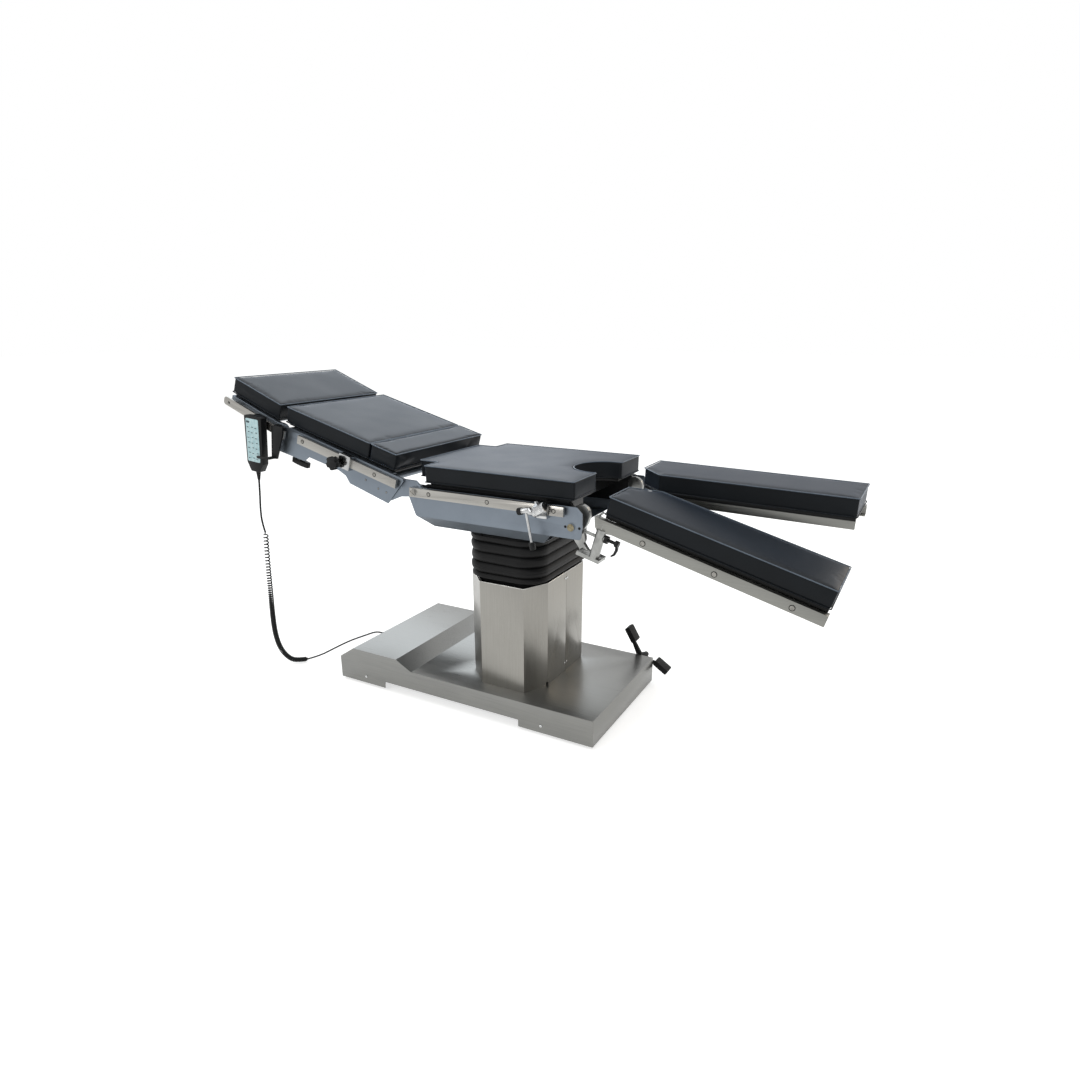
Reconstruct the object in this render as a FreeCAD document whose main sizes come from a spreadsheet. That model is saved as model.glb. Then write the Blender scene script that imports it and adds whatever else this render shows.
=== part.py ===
import FreeCAD, Part
import math
import os
import re

import Sketcher

# Operating table, in millimetres. X runs towards the foot end, Y away from the
# side with the handset, Z up. The origin is on the floor under the base's centre.
# The back, head and leg sections are modelled flat, each in the frame of its own
# hinge, with x measured away from the hinge, and are then turned to rest.

doc = FreeCAD.newDocument("operating_table")
sheet = doc.addObject("Spreadsheet::Sheet", "Sizes")

sizes = {
    # base
    "base_length": 1060.0, "base_width": 537.0, "base_top": 104.0, "skirt_gap": 10.0,
    "base_sheet": 2.5, "hump_end": 93.5, "hump_top": 139.5, "hump_slope": 68.0,
    "hump_crest": 259.0, "hump_foot": 192.0,
    "notch_head": 318.0, "notch_foot": 254.0, "notch_top": 35.0,
    "plate_under": 60.0, "plate_thick": 8.0, "lip_low": 22.0, "lip_thick": 6.0,
    "foot_inset": 130.0, "foot_edge": 88.5, "foot_radius": 24.0, "foot_thick": 14.0,
    "foot_stem": 10.0, "tank_inset": 64.0, "tank_foot": 300.0, "tank_near": 160.0,
    "tank_far": 60.0, "tank_high": 56.0, "motor_radius": 27.0, "motor_length": 150.0,
    # casters on their lowering frame
    "caster_inset": 60.0, "caster_edge": 53.5, "wheel_radius": 18.0, "wheel_wide": 18.0,
    "wheel_lift": 4.0, "trail": 12.0, "axle_radius": 4.0, "cheek_thick": 4.0,
    "cheek_gap": 1.0, "stem_radius": 7.0, "crown_radius": 17.0, "crown_thick": 4.0,
    "bar_low": 48.0, "bar_thick": 8.0, "bar_wide": 28.0, "guide_rod": 5.0,
    "guide_rod_x": 300.0, "guide_rod_high": 30.0,
    # brake pedal
    "pedal_inset": 50.0, "pedal_z": 84.0, "pedal_shaft": 10.0, "pedal_shaft_in": 180.0,
    "pedal_shaft_out": 330.0, "pedal_hub": 17.0, "pedal_arm_thick": 12.0,
    "pedal_arm_wide": 20.0, "high_arm_turn": 121.0, "high_arm": 62.0,
    "low_arm_turn": -8.0, "low_arm": 50.0, "tread_long": 78.0, "tread_thick": 30.0,
    "tread_wide": 58.0, "low_tread_turn": -33.0, "bearing_long": 34.0,
    "bearing_thick": 14.0,
    # column
    "column_x": 160.0, "cover_half": 126.0, "cover_head": 173.0, "cover_front": 84.0,
    "cover_side": 118.0, "cover_side_far": 152.0, "cover_seam_y": 18.0, "cover_wide": 209.0,
    "cover_top": 480.0, "cover_sheet": 2.5, "cover_lip": 6.0,
    "cover_seam": 1.0, "cover_notch": 12.0, "guide_top": 420.0, "guide_wall": 10.0,
    "guide_flange": 95.0, "guide_flange_thick": 10.0, "column_size": 130.0,
    "column_wall": 9.0, "column_low": 175.0, "column_high": 518.0,
    "head_plate": 150.0, "head_plate_thick": 12.0, "slide_gap": 0.4,
    "cylinder_radius": 30.0, "bore_radius": 20.0, "cylinder_top": 400.0,
    "cylinder_floor": 90.0, "ram_low": 210.0,
    # tilt joint
    "tilt_z": 600.0, "cross_half": 30.0, "cross_high": 24.0, "cross_boss": 22.0,
    "cross_reach": 50.0, "cross_pin": 14.0, "ear_thick": 20.0, "ear_gap": 2.0,
    "yoke_ear": 22.0, "hanger_ear": 24.0, "hanger_plate": 8.0, "hanger_half": 90.0,
    # bellows
    "bellows_low": 462.0, "bellows_neck": 486.0, "bellows_top": 640.0, "bellows_cuff": 655.5,
    "bellows_folds": 4.0, "bellows_half": 140.0, "bellows_wide": 212.0,
    "bellows_depth": 9.0, "bellows_corner": 78.0, "collar_half": 117.5,
    "collar_wide": 176.0, "collar_corner": 60.0, "bellows_hole": 98.0,
    "bellows_hole_wide": 150.0, "bellows_shift": 4.0,
    # padded top, the same stack in each section
    "top_width": 520.0, "pad_thick": 56.0, "panel_thick": 10.0, "panel_inset": 15.0,
    "rail_drop": 72.0, "rail_high": 30.0, "rail_thick": 10.0, "rail_out": 25.0,
    "plate_out": 8.0, "side_sheet": 3.0, "post_radius": 9.0, "pad_gap": 3.0,
    "pin_gap": 0.1,
    # seat section
    "seat_top": 862.0, "seat_head": 95.0, "seat_foot": 446.0, "tab_head": 171.0,
    "tab_step": 79.0, "cut_half": 100.0, "cut_centre": 430.0, "trough_floor": 656.0,
    "facet_high": 37.0, "facet_in": 34.0, "trough_head": 80.0, "trough_foot": 332.0,
    "shoulder_x": 130.0, "shoulder_z": 696.0, "prow_x": 157.0, "prow_z": 763.0,
    "step_x": 372.0, "heel_x": 474.0, "heel_z": 692.0, "cheek_x": 478.0,
    "cheek_z": 772.0, "brow_x": 459.0, "seat_rail_head": 138.0,
    "seat_rail_foot": 424.0, "seat_post_a": 61.0, "seat_post_b": 161.0,
    "seat_post_c": 380.0, "beam_inset": 16.0, "beam_thick": 12.0, "beam_low": 700.0,
    "tie_wide": 20.0, "tie_high": 50.0, "tie_head": 60.0, "tie_foot": 330.0,
    # back section
    "back_hinge_x": 123.0, "back_hinge_z": 776.0, "back_rise": 15.3,
    "back_pad_top": 86.0, "lumbar_start": 107.0, "lumbar_end": 220.0,
    "back_pad_end": 602.0, "back_rail_start": 73.0, "back_rail_end": 514.0,
    "back_post_a": 100.0, "back_post_b": 300.0, "back_post_c": 490.0,
    "arm_out": 2.0, "arm_thick": 15.0, "arm_eye": 19.0, "hinge_pin": 8.0, "head_bar": 20.0,
    "boss_radius": 11.0, "flange_wide": 26.0, "back_tube": 14.0,
    "back_tube_a": 170.0, "back_tube_b": 470.0, "back_tube_drop": 30.0,
    # head section
    "head_hinge": 612.0, "head_rise": 6.2, "head_pad_top": 80.0, "head_start": 27.0,
    "head_end": 267.0, "head_rail_start": -34.0, "head_rail_end": 272.0,
    "head_post_a": 60.0, "head_post_b": 225.0, "head_eye": 17.0, "head_tie": 60.0, "head_tube": 210.0,
    "rail_hole_back": 26.0, "rail_hole": 5.0, "rail_nose": 11.0,
    "head_knob_at": 528.0,
    "head_knob_inset": 20.0, "head_knob_low": 108.0, "wing_half": 38.0,
    "wing_thick": 18.0, "socket_low": 62.0, "socket_long": 44.0, "socket_wide": 26.0,
    # legs
    "leg_x": 442.0, "leg_z": 728.0, "near_fall": 15.3, "far_fall": 1.1,
    "leg_inner": 16.0, "leg_pad_inset": 12.0, "leg_start": 78.0, "leg_end": 745.0,
    "leg_pad_top": 126.0, "hip_along": 81.0, "hip_across": 82.0, "leg_bar_start": 119.0,
    "leg_bar_low": 25.0, "leg_bar_high": 58.0, "leg_bar_thick": 24.0,
    "leg_out": 2.0, "inner_bar_thick": 12.0, "leg_tie_a": 165.0, "leg_tie_b": 640.0,
    "leg_tie_wide": 24.0, "leg_hub": 26.0, "leg_arm_inset": 30.0,
    "ledge_start": 36.0, "stop_rod": 5.0, "swing_at": 90.0, "swing_inset": 5.0,
    "barrel_radius": 15.0, "barrel_low": -62.0, "barrel_high": 28.0,
    "swing_pin": 7.0, "swing_pin_top": 46.0, "ledge_thick": 11.0, "ledge_gap": 0.3,
    "leg_pin": 10.0, "lock_at": 104.0, "lock_z": 4.0,
    "lock_hub": 12.0, "lock_ring": 10.0, "lock_tail": 44.0,
    # rail clamps and handset
    "jaw_wide": 40.0, "jaw_skin": 9.0, "jaw_lip": 4.0, "jaw_gap": 0.4,
    "seat_clamp_x": 354.0, "clamp_block": 18.0, "clamp_deep": 46.0,
    "post_bore": 8.0, "spindle_x": 316.0, "spindle_out": 56.0,
    "spindle_z": 764.0, "spindle_radius": 8.0, "handle_turn": 12.0,
    "handle_long": 108.0, "handle_radius": 4.0, "handle_cap": 8.0,
    "back_clamp_at": 290.0, "star_at": 318.0, "star_z": -12.0, "star_radius": 23.0,
    "star_thick": 20.0, "star_out": 44.0,
    "handset_out": 46.0, "handset_proud": 7.0,
    "handset_long": 200.0, "handset_wide": 84.0, "handset_thick": 26.0,
    "handset_turn": 5.0, "hook_at": 88.0, "hook_wide": 34.0, "hook_thick": 4.0,
    "holder_at": -8.0, "holder_wide": 34.0, "holder_drop": 92.0,
    "holder_arm_thick": 7.0, "peg_reach": 80.0, "peg_thick": 6.0,
    # control cord
    "lead_radius": 2.5, "coil_radius": 8.0, "tail_radius": 3.0,
    "gland_y": 5.0, "gland_z": 78.0, "gland_radius": 9.0, "gland_long": 26.0,
    "relief_long": 34.0, "relief_radius": 9.0,
}

for row, (name, size) in enumerate(sizes.items(), 1):
    sheet.set("A%d" % row, name)
    sheet.set("B%d" % row, str(size))
    sheet.setAlias("B%d" % row, name)
doc.recompute()

# Places across the table and along the base, which follow its width and length.
places = {
    "foot_x": "(base_length / 2 - foot_inset)", "foot_y": "(base_width / 2 - foot_edge)",
    "tank_head": "(base_length / 2 - tank_inset)",
    "caster_x": "(base_length / 2 - caster_inset)",
    "caster_y": "(base_width / 2 - caster_edge)",
    "pedal_x": "(base_length / 2 - pedal_inset)",
    "rail_face": "(top_width / 2 + rail_out)", "plate_face": "(top_width / 2 + plate_out)",
    "tab_half": "(top_width / 2 - tab_step)", "beam_face": "(top_width / 2 - beam_inset)",
    "arm_face": "(top_width / 2 + arm_out)",
    "head_knob_in": "(top_width / 2 - head_knob_inset)",
    "leg_arm_face": "(top_width / 2 - leg_arm_inset)",
    "leg_outer": "(top_width / 2 - leg_pad_inset)", "leg_face": "(top_width / 2 + leg_out)",
    "swing_y": "(top_width / 2 - swing_inset)", "spindle_y": "(top_width / 2 + spindle_out)",
    "star_near": "(top_width / 2 + star_out)", "handset_y": "(top_width / 2 + handset_out)",
}
parts = []
WORD = re.compile(r"[a-z_][a-z_0-9]*")


def sized(text):
    """Write an expression on the names above as one that reads the sheet."""
    text = WORD.sub(lambda word: places.get(word.group(), word.group()), str(text))
    return WORD.sub(lambda word: "Sizes." * (word.group() in sizes) + word.group(), text)


def number(text):
    return float(sheet.evalExpression(sized(text)))


def bind(thing, path, text):
    thing.setExpression(path, sized(text))


def place(x="0", y="0", z="0", axis=(0, 1, 0), turn="0"):
    spot = FreeCAD.Vector(number(x), number(y), number(z))
    return FreeCAD.Placement(spot, FreeCAD.Rotation(FreeCAD.Vector(*axis), number(turn)))


ROW = FreeCAD.Placement()
ABOUT = place(axis=(0, 0, 1), turn="180")
BACK = place("-back_hinge_x", "0", "back_hinge_z", turn="back_rise") * ABOUT
HEAD = BACK * place("head_hinge", axis=(0, -1, 0), turn="head_rise")
NEAR_LEG = place("leg_x", "0", "leg_z", turn="near_fall")
FAR_LEG = place("leg_x", "0", "leg_z", turn="far_fall")


def new_body(name, frame=ROW, keep=True):
    body = doc.addObject("PartDesign::Body", name)
    body.Label = name
    body.AllowCompound = True
    body.Placement = frame
    if keep:
        parts.append(body)
    return body


def new_sketch(body, plane, at):
    """A sketch on one of the body's own planes, moved to the height at."""
    sketch = body.newObject("Sketcher::SketchObject", body.Name + "_sketch")
    origin = [item for item in body.Origin.OriginFeatures if item.Role == plane + "_Plane"][0]
    sketch.AttachmentSupport = [(origin, "")]
    sketch.MapMode = "FlatFace"
    height = "-(%s)" % at if plane == "XZ" else at
    bind(sketch, "AttachmentOffset.Base.z", height)
    sketch.AttachmentOffset.Base.z = number(height)
    return sketch


def hold(sketch, kind, *rest, size):
    index = sketch.addConstraint(Sketcher.Constraint(kind, *rest, number(size)))
    bind(sketch, "Constraints[%d]" % index, size)


def draw_outline(sketch, points):
    """A closed chain of straight edges, each corner held by its two sizes."""
    corners = [FreeCAD.Vector(number(a), number(b), 0) for a, b in points]
    first = sketch.GeometryCount
    for i, corner in enumerate(corners):
        sketch.addGeometry(Part.LineSegment(corner, corners[(i + 1) % len(corners)]), False)
    for i, (a, b) in enumerate(points):
        following = first + (i + 1) % len(points)
        sketch.addConstraint(Sketcher.Constraint("Coincident", first + i, 2, following, 1))
        hold(sketch, "DistanceX", -1, 1, first + i, 1, size=a)
        hold(sketch, "DistanceY", -1, 1, first + i, 1, size=b)


def draw_circle(sketch, x, y, radius):
    centre = FreeCAD.Vector(number(x), number(y), 0)
    circle = Part.Circle(centre, FreeCAD.Vector(0, 0, 1), number(radius))
    index = sketch.addGeometry(circle, False)
    hold(sketch, "DistanceX", -1, 1, index, 3, size=x)
    hold(sketch, "DistanceY", -1, 1, index, 3, size=y)
    hold(sketch, "Radius", index, size=radius)


def extrude(body, kind, sketch, plane, low, high):
    """Grow or cut from low to high along the plane's own axis."""
    feature = body.newObject("PartDesign::" + kind, body.Name + "_" + kind.lower())
    feature.Profile = sketch
    bind(feature, "Length", "(%s) - (%s)" % (high, low))
    feature.Reversed = (plane == "XZ") == (kind == "Pad")
    sketch.Visibility = False
    return feature


def block(body, plane, low, high, points):
    sketch = new_sketch(body, plane, low)
    draw_outline(sketch, points)
    return extrude(body, "Pad", sketch, plane, low, high)


def rod(body, plane, low, high, x, y, radius):
    sketch = new_sketch(body, plane, low)
    draw_circle(sketch, x, y, radius)
    return extrude(body, "Pad", sketch, plane, low, high)


def cut(body, plane, low, high, points):
    sketch = new_sketch(body, plane, low)
    draw_outline(sketch, points)
    return extrude(body, "Pocket", sketch, plane, low, high)


def bore(body, plane, low, high, x, y, radius):
    sketch = new_sketch(body, plane, low)
    draw_circle(sketch, x, y, radius)
    return extrude(body, "Pocket", sketch, plane, low, high)


def box(x0, x1, y0, y1):
    return [(x0, y0), (x1, y0), (x1, y1), (x0, y1)]


def soften(body, radius, wanted):
    """Fillet the edges of the body for which wanted(edge) is true."""
    doc.recompute()
    tip = body.Tip
    names = ["Edge%d" % i for i, edge in enumerate(tip.Shape.Edges, 1) if wanted(edge)]
    feature = body.newObject("PartDesign::Fillet", body.Name + "_fillet")
    feature.Base = (tip, names)
    bind(feature, "Radius", radius)
    return feature


def along(edge, axis):
    """Is this a straight edge along the given axis?"""
    if edge.Curve.TypeId != "Part::GeomLine":
        return False
    return abs(abs(edge.Curve.Direction.dot(FreeCAD.Vector(*axis))) - 1) < 1e-6


def sides(*names):
    """The sign of Y for each side wanted, as text: near is -1, far is 1."""
    return [{"near": "-1", "far": "1"}[name] for name in names]


def span(side, inner, outer):
    """The low and high Y of a piece between two distances from the middle plane."""
    if side == "-1":
        return "-(%s)" % outer, "-(%s)" % inner
    return inner, outer


# Base cover: one folded stainless sheet with a hump over the power unit.
cover = new_body("base_cover")
half = "base_length / 2"
climb = "((hump_top - hump_end) / hump_slope)"
fall = "((hump_top - base_top) / (hump_crest - hump_foot))"
block(cover, "XZ", "-base_width / 2", "base_width / 2", [
    ("-" + half, "skirt_gap"), ("-" + half, "hump_end"),
    ("-base_length / 2 + hump_slope", "hump_top"), ("-hump_crest", "hump_top"),
    ("-hump_foot", "base_top"), (half, "base_top"), (half, "skirt_gap")])
soften(cover, "3", lambda edge: along(edge, (0, 0, 1)))
climb_skin = "base_sheet * sqrt(1 + %s ^ 2)" % climb
fall_skin = "base_sheet * sqrt(1 + %s ^ 2)" % fall
cut(cover, "XZ", "-base_width / 2 + base_sheet", "base_width / 2 - base_sheet", [
    ("-base_length / 2 + base_sheet", "skirt_gap - 1"),
    ("-base_length / 2 + base_sheet", "hump_end + %s * base_sheet - %s" % (climb, climb_skin)),
    ("-base_length / 2 + (hump_top - base_sheet - hump_end + %s) / %s" % (climb_skin, climb),
     "hump_top - base_sheet"),
    ("-hump_crest - (%s - base_sheet) / %s" % (fall_skin, fall), "hump_top - base_sheet"),
    ("-hump_crest + (hump_top - %s - base_top + base_sheet) / %s" % (fall_skin, fall),
     "base_top - base_sheet"),
    ("base_length / 2 - base_sheet", "base_top - base_sheet"),
    ("base_length / 2 - base_sheet", "skirt_gap - 1")])
cut(cover, "XZ", "-base_width / 2 - 1", "base_width / 2 + 1",
    box("-notch_head", "notch_foot", "skirt_gap - 1", "notch_top"))
cut(cover, "XY", "base_top - base_sheet - 1", "base_top + 1",
    box("column_x - guide_flange - 5", "column_x + guide_flange + 5",
        "-guide_flange - 5", "guide_flange + 5"))
bore(cover, "XZ", "base_width / 2 - base_sheet - 1", "base_width / 2 + 1",
     "pedal_x", "pedal_z", "pedal_shaft + 3")
bore(cover, "YZ", "-base_length / 2 - 1", "-base_length / 2 + base_sheet + 1",
     "gland_y", "gland_z", "gland_radius - 3")

# Chassis: a steel plate with folded lips that the skirts are screwed to.
chassis = new_body("base_chassis")
wide = "base_width / 2 - base_sheet"
block(chassis, "YZ", "-base_length / 2 + base_sheet", "base_length / 2 - base_sheet", [
    ("-(%s)" % wide, "lip_low"), ("-(%s)" % wide, "plate_under + plate_thick"),
    (wide, "plate_under + plate_thick"), (wide, "lip_low"),
    (wide + " - lip_thick", "lip_low"), (wide + " - lip_thick", "plate_under"),
    ("-(%s) + lip_thick" % wide, "plate_under"), ("-(%s) + lip_thick" % wide, "lip_low")])
soften(chassis, "3", lambda edge: along(edge, (0, 0, 1))
       and abs(abs(edge.CenterOfMass.y) - number(wide)) < 0.1)
cut(chassis, "XZ", "-base_width / 2", "base_width / 2",
    box("-notch_head - 4", "notch_foot + 4", "lip_low - 1", "notch_top + 3"))
for side in sides("near", "far"):
    for end in "-1", "1":
        bore(chassis, "XY", "plate_under - 1", "plate_under + plate_thick + 1",
             end + " * guide_rod_x", side + " * caster_y", "guide_rod + slide_gap")
        bore(chassis, "XY", "plate_under - 1", "plate_under + plate_thick + 1",
             end + " * caster_x", side + " * caster_y", "stem_radius + 5")
for at in "pedal_shaft_in + 6", "base_width / 2 - base_sheet - bearing_thick - 2":
    block(chassis, "XZ", at, "%s + bearing_thick" % at,
          box("pedal_x - bearing_long / 2", "pedal_x + bearing_long / 2",
              "plate_under + plate_thick", "pedal_z + pedal_shaft + 5"))
bore(chassis, "XZ", "pedal_shaft_in - 1", "base_width / 2", "pedal_x", "pedal_z",
     "pedal_shaft + pin_gap")

# Feet: four rubber-soled stands that carry the table while it is locked.
feet = new_body("base_feet")
for side in sides("near", "far"):
    for end in "-1", "1":
        x, y = end + " * foot_x", side + " * foot_y"
        rod(feet, "XY", "0", "foot_thick", x, y, "foot_radius")
        rod(feet, "XY", "foot_thick", "plate_under", x, y, "foot_stem")

# Power unit under the hump: an oil tank with its pump motor lying across it.
power = new_body("power_unit")
floor_z = "plate_under + plate_thick"
block(power, "XY", floor_z, floor_z + " + tank_high",
      box("-tank_head", "-tank_foot", "-tank_near", "tank_far"))
soften(power, "8", lambda edge: along(edge, (0, 0, 1)))
rod(power, "XZ", "tank_far", "tank_far + motor_length", "-(tank_head + tank_foot) / 2",
    floor_z + " + motor_radius", "motor_radius")

# Lift cylinder, fixed on the chassis, with the ram's bore.
cylinder = new_body("lift_cylinder")
rod(cylinder, "XY", floor_z, "cylinder_top", "column_x", "0", "cylinder_radius")
bore(cylinder, "XY", "cylinder_floor", "cylinder_top + 1", "column_x", "0", "bore_radius")

# Column guide: a square steel tube on a bolted flange.
guide = new_body("column_guide")
guide_in = "column_size / 2 + slide_gap"
guide_out = "column_size / 2 + slide_gap + guide_wall"
block(guide, "XY", floor_z, floor_z + " + guide_flange_thick",
      box("column_x - guide_flange", "column_x + guide_flange", "-guide_flange", "guide_flange"))
block(guide, "XY", floor_z, "guide_top",
      box("column_x - (%s)" % guide_out, "column_x + " + guide_out,
          "-(%s)" % guide_out, guide_out))
cut(guide, "XY", floor_z + " - 1", "guide_top + 1",
    box("column_x - (%s)" % guide_in, "column_x + " + guide_in, "-(%s)" % guide_in, guide_in))

# Column covers: two half shells, each three flats and two halves of the sides.
for label, side, side_corner in (("near", "-1", "cover_side"), ("far", "1", "cover_side_far")):
    shell = new_body("column_cover_" + label)

    def half_ring(inset):
        seam = "cover_seam_y + %s * cover_seam / 2" % side
        low_x = "column_x - cover_head + " + inset
        high_x = "column_x + cover_half - " + inset
        corner = "(%s - %s * 0.5)" % (side_corner, inset)
        front = "(cover_front - %s * 0.63)" % inset
        face = "(cover_wide - %s)" % inset
        return [(low_x, seam), (low_x, side + " * " + corner),
                ("column_x - " + front, side + " * " + face),
                ("column_x + " + front, side + " * " + face),
                (high_x, side + " * " + corner), (high_x, seam)]

    def over_seam(points):
        past = "cover_seam_y - %s * 2" % side
        return [(points[0][0], past)] + points[1:-1] + [(points[-1][0], past)]

    block(shell, "XY", "base_top", "cover_top", half_ring("0"))
    cut(shell, "XY", "base_top - 1", "cover_top - cover_sheet",
        over_seam(half_ring("cover_sheet")))
    cut(shell, "XY", "cover_top - cover_sheet - 1", "cover_top + 1",
        over_seam(half_ring("cover_lip")))
    for x in "column_x - cover_head", "column_x + cover_half":
        y = side + " * " + side_corner
        cut(shell, "XY", "base_top - 1", "base_top + cover_notch",
            box(x + " - 5", x + " + 5", y + " - 6", y + " + 6"))

# Gland: a tapered rubber sleeve where the control cord enters the base.
gland = new_body("cord_gland", place("-base_length / 2", "gland_y", "gland_z",
                                     axis=(0, 1, 0), turn="-90"))
sleeve = new_sketch(gland, "XZ", "0")
draw_outline(sleeve, [
    ("0", "-base_sheet - 4"), ("gland_radius - 3.3", "-base_sheet - 4"),
    ("gland_radius - 3.3", "0"), ("gland_radius", "0"), ("gland_radius", "5"),
    ("lead_radius + 2", "gland_long"), ("0", "gland_long")])
turned = gland.newObject("PartDesign::Revolution", "gland_turned")
turned.Profile = sleeve
turned.ReferenceAxis = (sleeve, ["V_Axis"])
turned.Angle = 360

# Brake pedal: a two-armed rocker on a shaft through the far skirt.
pedal = new_body("brake_pedal", place("pedal_x", "0", "pedal_z"))
rod(pedal, "XZ", "pedal_shaft_in", "pedal_shaft_out", "0", "0", "pedal_shaft")
arm_near = "base_width / 2 + 6"
arm_far = arm_near + " + pedal_arm_thick"
rod(pedal, "XZ", arm_near, arm_far + " + 20", "0", "0", "pedal_hub")


def swung(turn, distance, offset):
    """The x and z of a point at a distance along a turned arm, offset to its left."""
    x = "(%s) * cos(%s) - (%s) * sin(%s)" % (distance, turn, offset, turn)
    z = "(%s) * sin(%s) + (%s) * cos(%s)" % (distance, turn, offset, turn)
    return x, z


def turned_box(turn, start, end, low, high):
    return [swung(turn, start, low), swung(turn, end, low), swung(turn, end, high),
            swung(turn, start, high)]


tread_near = arm_near
tread_far = arm_near + " + tread_wide"
for turn, arm in (("high_arm_turn", "high_arm"), ("low_arm_turn", "low_arm")):
    block(pedal, "XZ", arm_near, arm_far,
          turned_box(turn, "0", arm + " + 20", "-pedal_arm_wide / 2", "pedal_arm_wide / 2"))
block(pedal, "XZ", tread_near, tread_far,
      turned_box("high_arm_turn", "high_arm", "high_arm + tread_long",
                 "-tread_thick / 2", "tread_thick / 2"))
low_x, low_z = swung("low_arm_turn", "low_arm", "0")
shift = [("%s + %s" % (low_x, x), "%s + %s" % (low_z, z)) for x, z in
         turned_box("low_tread_turn", "-6", "tread_long - 6", "-tread_thick / 2", "tread_thick / 2")]
block(pedal, "XZ", tread_near, tread_far, shift)
soften(pedal, "8", lambda edge: along(edge, (0, 1, 0))
       and edge.Length > number("tread_wide") - 1 and edge.CenterOfMass.y > number(tread_near))

# Caster frame: two long bars and two ties under the chassis, on four guide rods.
frame = new_body("caster_frame")
bar_top = "bar_low + bar_thick"
bar_end = "caster_x + bar_wide / 2"
for side in sides("near", "far"):
    y = side + " * caster_y"
    block(frame, "XY", "bar_low", bar_top,
          box("-(%s)" % bar_end, bar_end, y + " - bar_wide / 2", y + " + bar_wide / 2"))
for end in "-1", "1":
    x = end + " * caster_x"
    block(frame, "XY", "bar_low", bar_top,
          box(x + " - bar_wide / 2", x + " + bar_wide / 2",
              "-caster_y + bar_wide / 2", "caster_y - bar_wide / 2"))
for side in sides("near", "far"):
    for end in "-1", "1":
        y = side + " * caster_y"
        rod(frame, "XY", bar_top, bar_top + " + guide_rod_high",
            end + " * guide_rod_x", y, "guide_rod")
        bore(frame, "XY", "bar_low - 1", bar_top + " + 1", end + " * caster_x", y,
             "stem_radius + pin_gap")

# Casters: forks that swivel in the frame and wheels that turn in the forks.
wheel_z = "wheel_lift + wheel_radius"
crown_low = "bar_low - crown_thick - 0.5"
for count, (end, side) in enumerate((("-1", "-1"), ("1", "-1"), ("-1", "1"), ("1", "1")), 1):
    spot = place(end + " * caster_x", side + " * caster_y")
    fork = new_body("caster_fork_%d" % count, spot)
    rod(fork, "XY", crown_low, "bar_low - 0.5", "0", "0", "crown_radius")
    rod(fork, "XY", "bar_low - 0.5", bar_top + " + 3", "0", "0", "stem_radius")
    cheek_in = "wheel_wide / 2 + cheek_gap"
    for cheek in sides("near", "far"):
        low, high = span(cheek, cheek_in, cheek_in + " + cheek_thick")
        block(fork, "XZ", low, high, [
            ("-trail - 6", wheel_z + " - 6"), ("-trail + 6", wheel_z + " - 6"),
            ("8", crown_low), ("-trail - 2", crown_low)])
    rod(fork, "XZ", "-(%s)" % cheek_in, cheek_in, "-trail", wheel_z, "axle_radius")

    wheel = new_body("caster_wheel_%d" % count, spot)
    rod(wheel, "XZ", "-wheel_wide / 2", "wheel_wide / 2", "-trail", wheel_z, "wheel_radius")
    bore(wheel, "XZ", "-wheel_wide / 2 - 1", "wheel_wide / 2 + 1", "-trail", wheel_z,
         "axle_radius + pin_gap")

# Inner column: the sliding square tube, its head plate and the yoke ears.
column = new_body("inner_column")
outer = "column_size / 2"
inner = "column_size / 2 - column_wall"
block(column, "XY", "column_low", "column_high",
      box("column_x - " + outer, "column_x + " + outer, "-" + outer, outer))
cut(column, "XY", "column_low - 1", "column_high",
    box("column_x - (%s)" % inner, "column_x + " + inner, "-(%s)" % inner, inner))
plate_top = "column_high + head_plate_thick"
block(column, "XY", "column_high", plate_top,
      box("column_x - head_plate / 2", "column_x + head_plate / 2",
          "-head_plate / 2", "head_plate / 2"))
ear_in = "cross_reach + ear_gap"
ear_out = ear_in + " + ear_thick"
for side in sides("near", "far"):
    low, high = span(side, ear_in, ear_out)
    block(column, "XZ", low, high,
          box("column_x - yoke_ear", "column_x + yoke_ear", plate_top, "tilt_z"))
    rod(column, "XZ", low, high, "column_x", "tilt_z", "yoke_ear")
bore(column, "XZ", "-(%s) - 1" % ear_out, ear_out + " + 1", "column_x", "tilt_z",
     "cross_pin + pin_gap")

# Lift ram: the polished rod that carries the inner column.
ram = new_body("lift_ram")
rod(ram, "XY", "ram_low", "column_high", "column_x", "0", "bore_radius - pin_gap")

# Tilt cross: the block whose two pairs of trunnions tilt the top both ways.
cross = new_body("tilt_cross", place("column_x", "0", "tilt_z"))
block(cross, "XY", "-cross_high", "cross_high",
      box("-cross_half", "cross_half", "-cross_half", "cross_half"))
for plane in "XZ", "YZ":
    rod(cross, plane, "-cross_reach", "cross_reach", "0", "0", "cross_boss")
    rod(cross, plane, "-(%s)" % ear_out, ear_out, "0", "0", "cross_pin")

# Tilt hanger: the plate and two ears bolted under the seat trough.
hanger = new_body("tilt_hanger")
block(hanger, "XY", "trough_floor - hanger_plate", "trough_floor",
      box("column_x - hanger_half", "column_x + hanger_half", "-hanger_half", "hanger_half"))
soften(hanger, "12", lambda edge: along(edge, (0, 0, 1)))
for end in "-1", "1":
    low, high = ["column_x + %s" % x for x in span(end, ear_in, ear_out)]
    block(hanger, "YZ", low, high,
          box("-hanger_ear", "hanger_ear", "tilt_z", "trough_floor - hanger_plate"))
    rod(hanger, "YZ", low, high, "0", "tilt_z", "hanger_ear")
bore(hanger, "YZ", "column_x - (%s) - 1" % ear_out, "column_x + %s + 1" % ear_out,
     "0", "tilt_z", "cross_pin + pin_gap")


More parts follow.
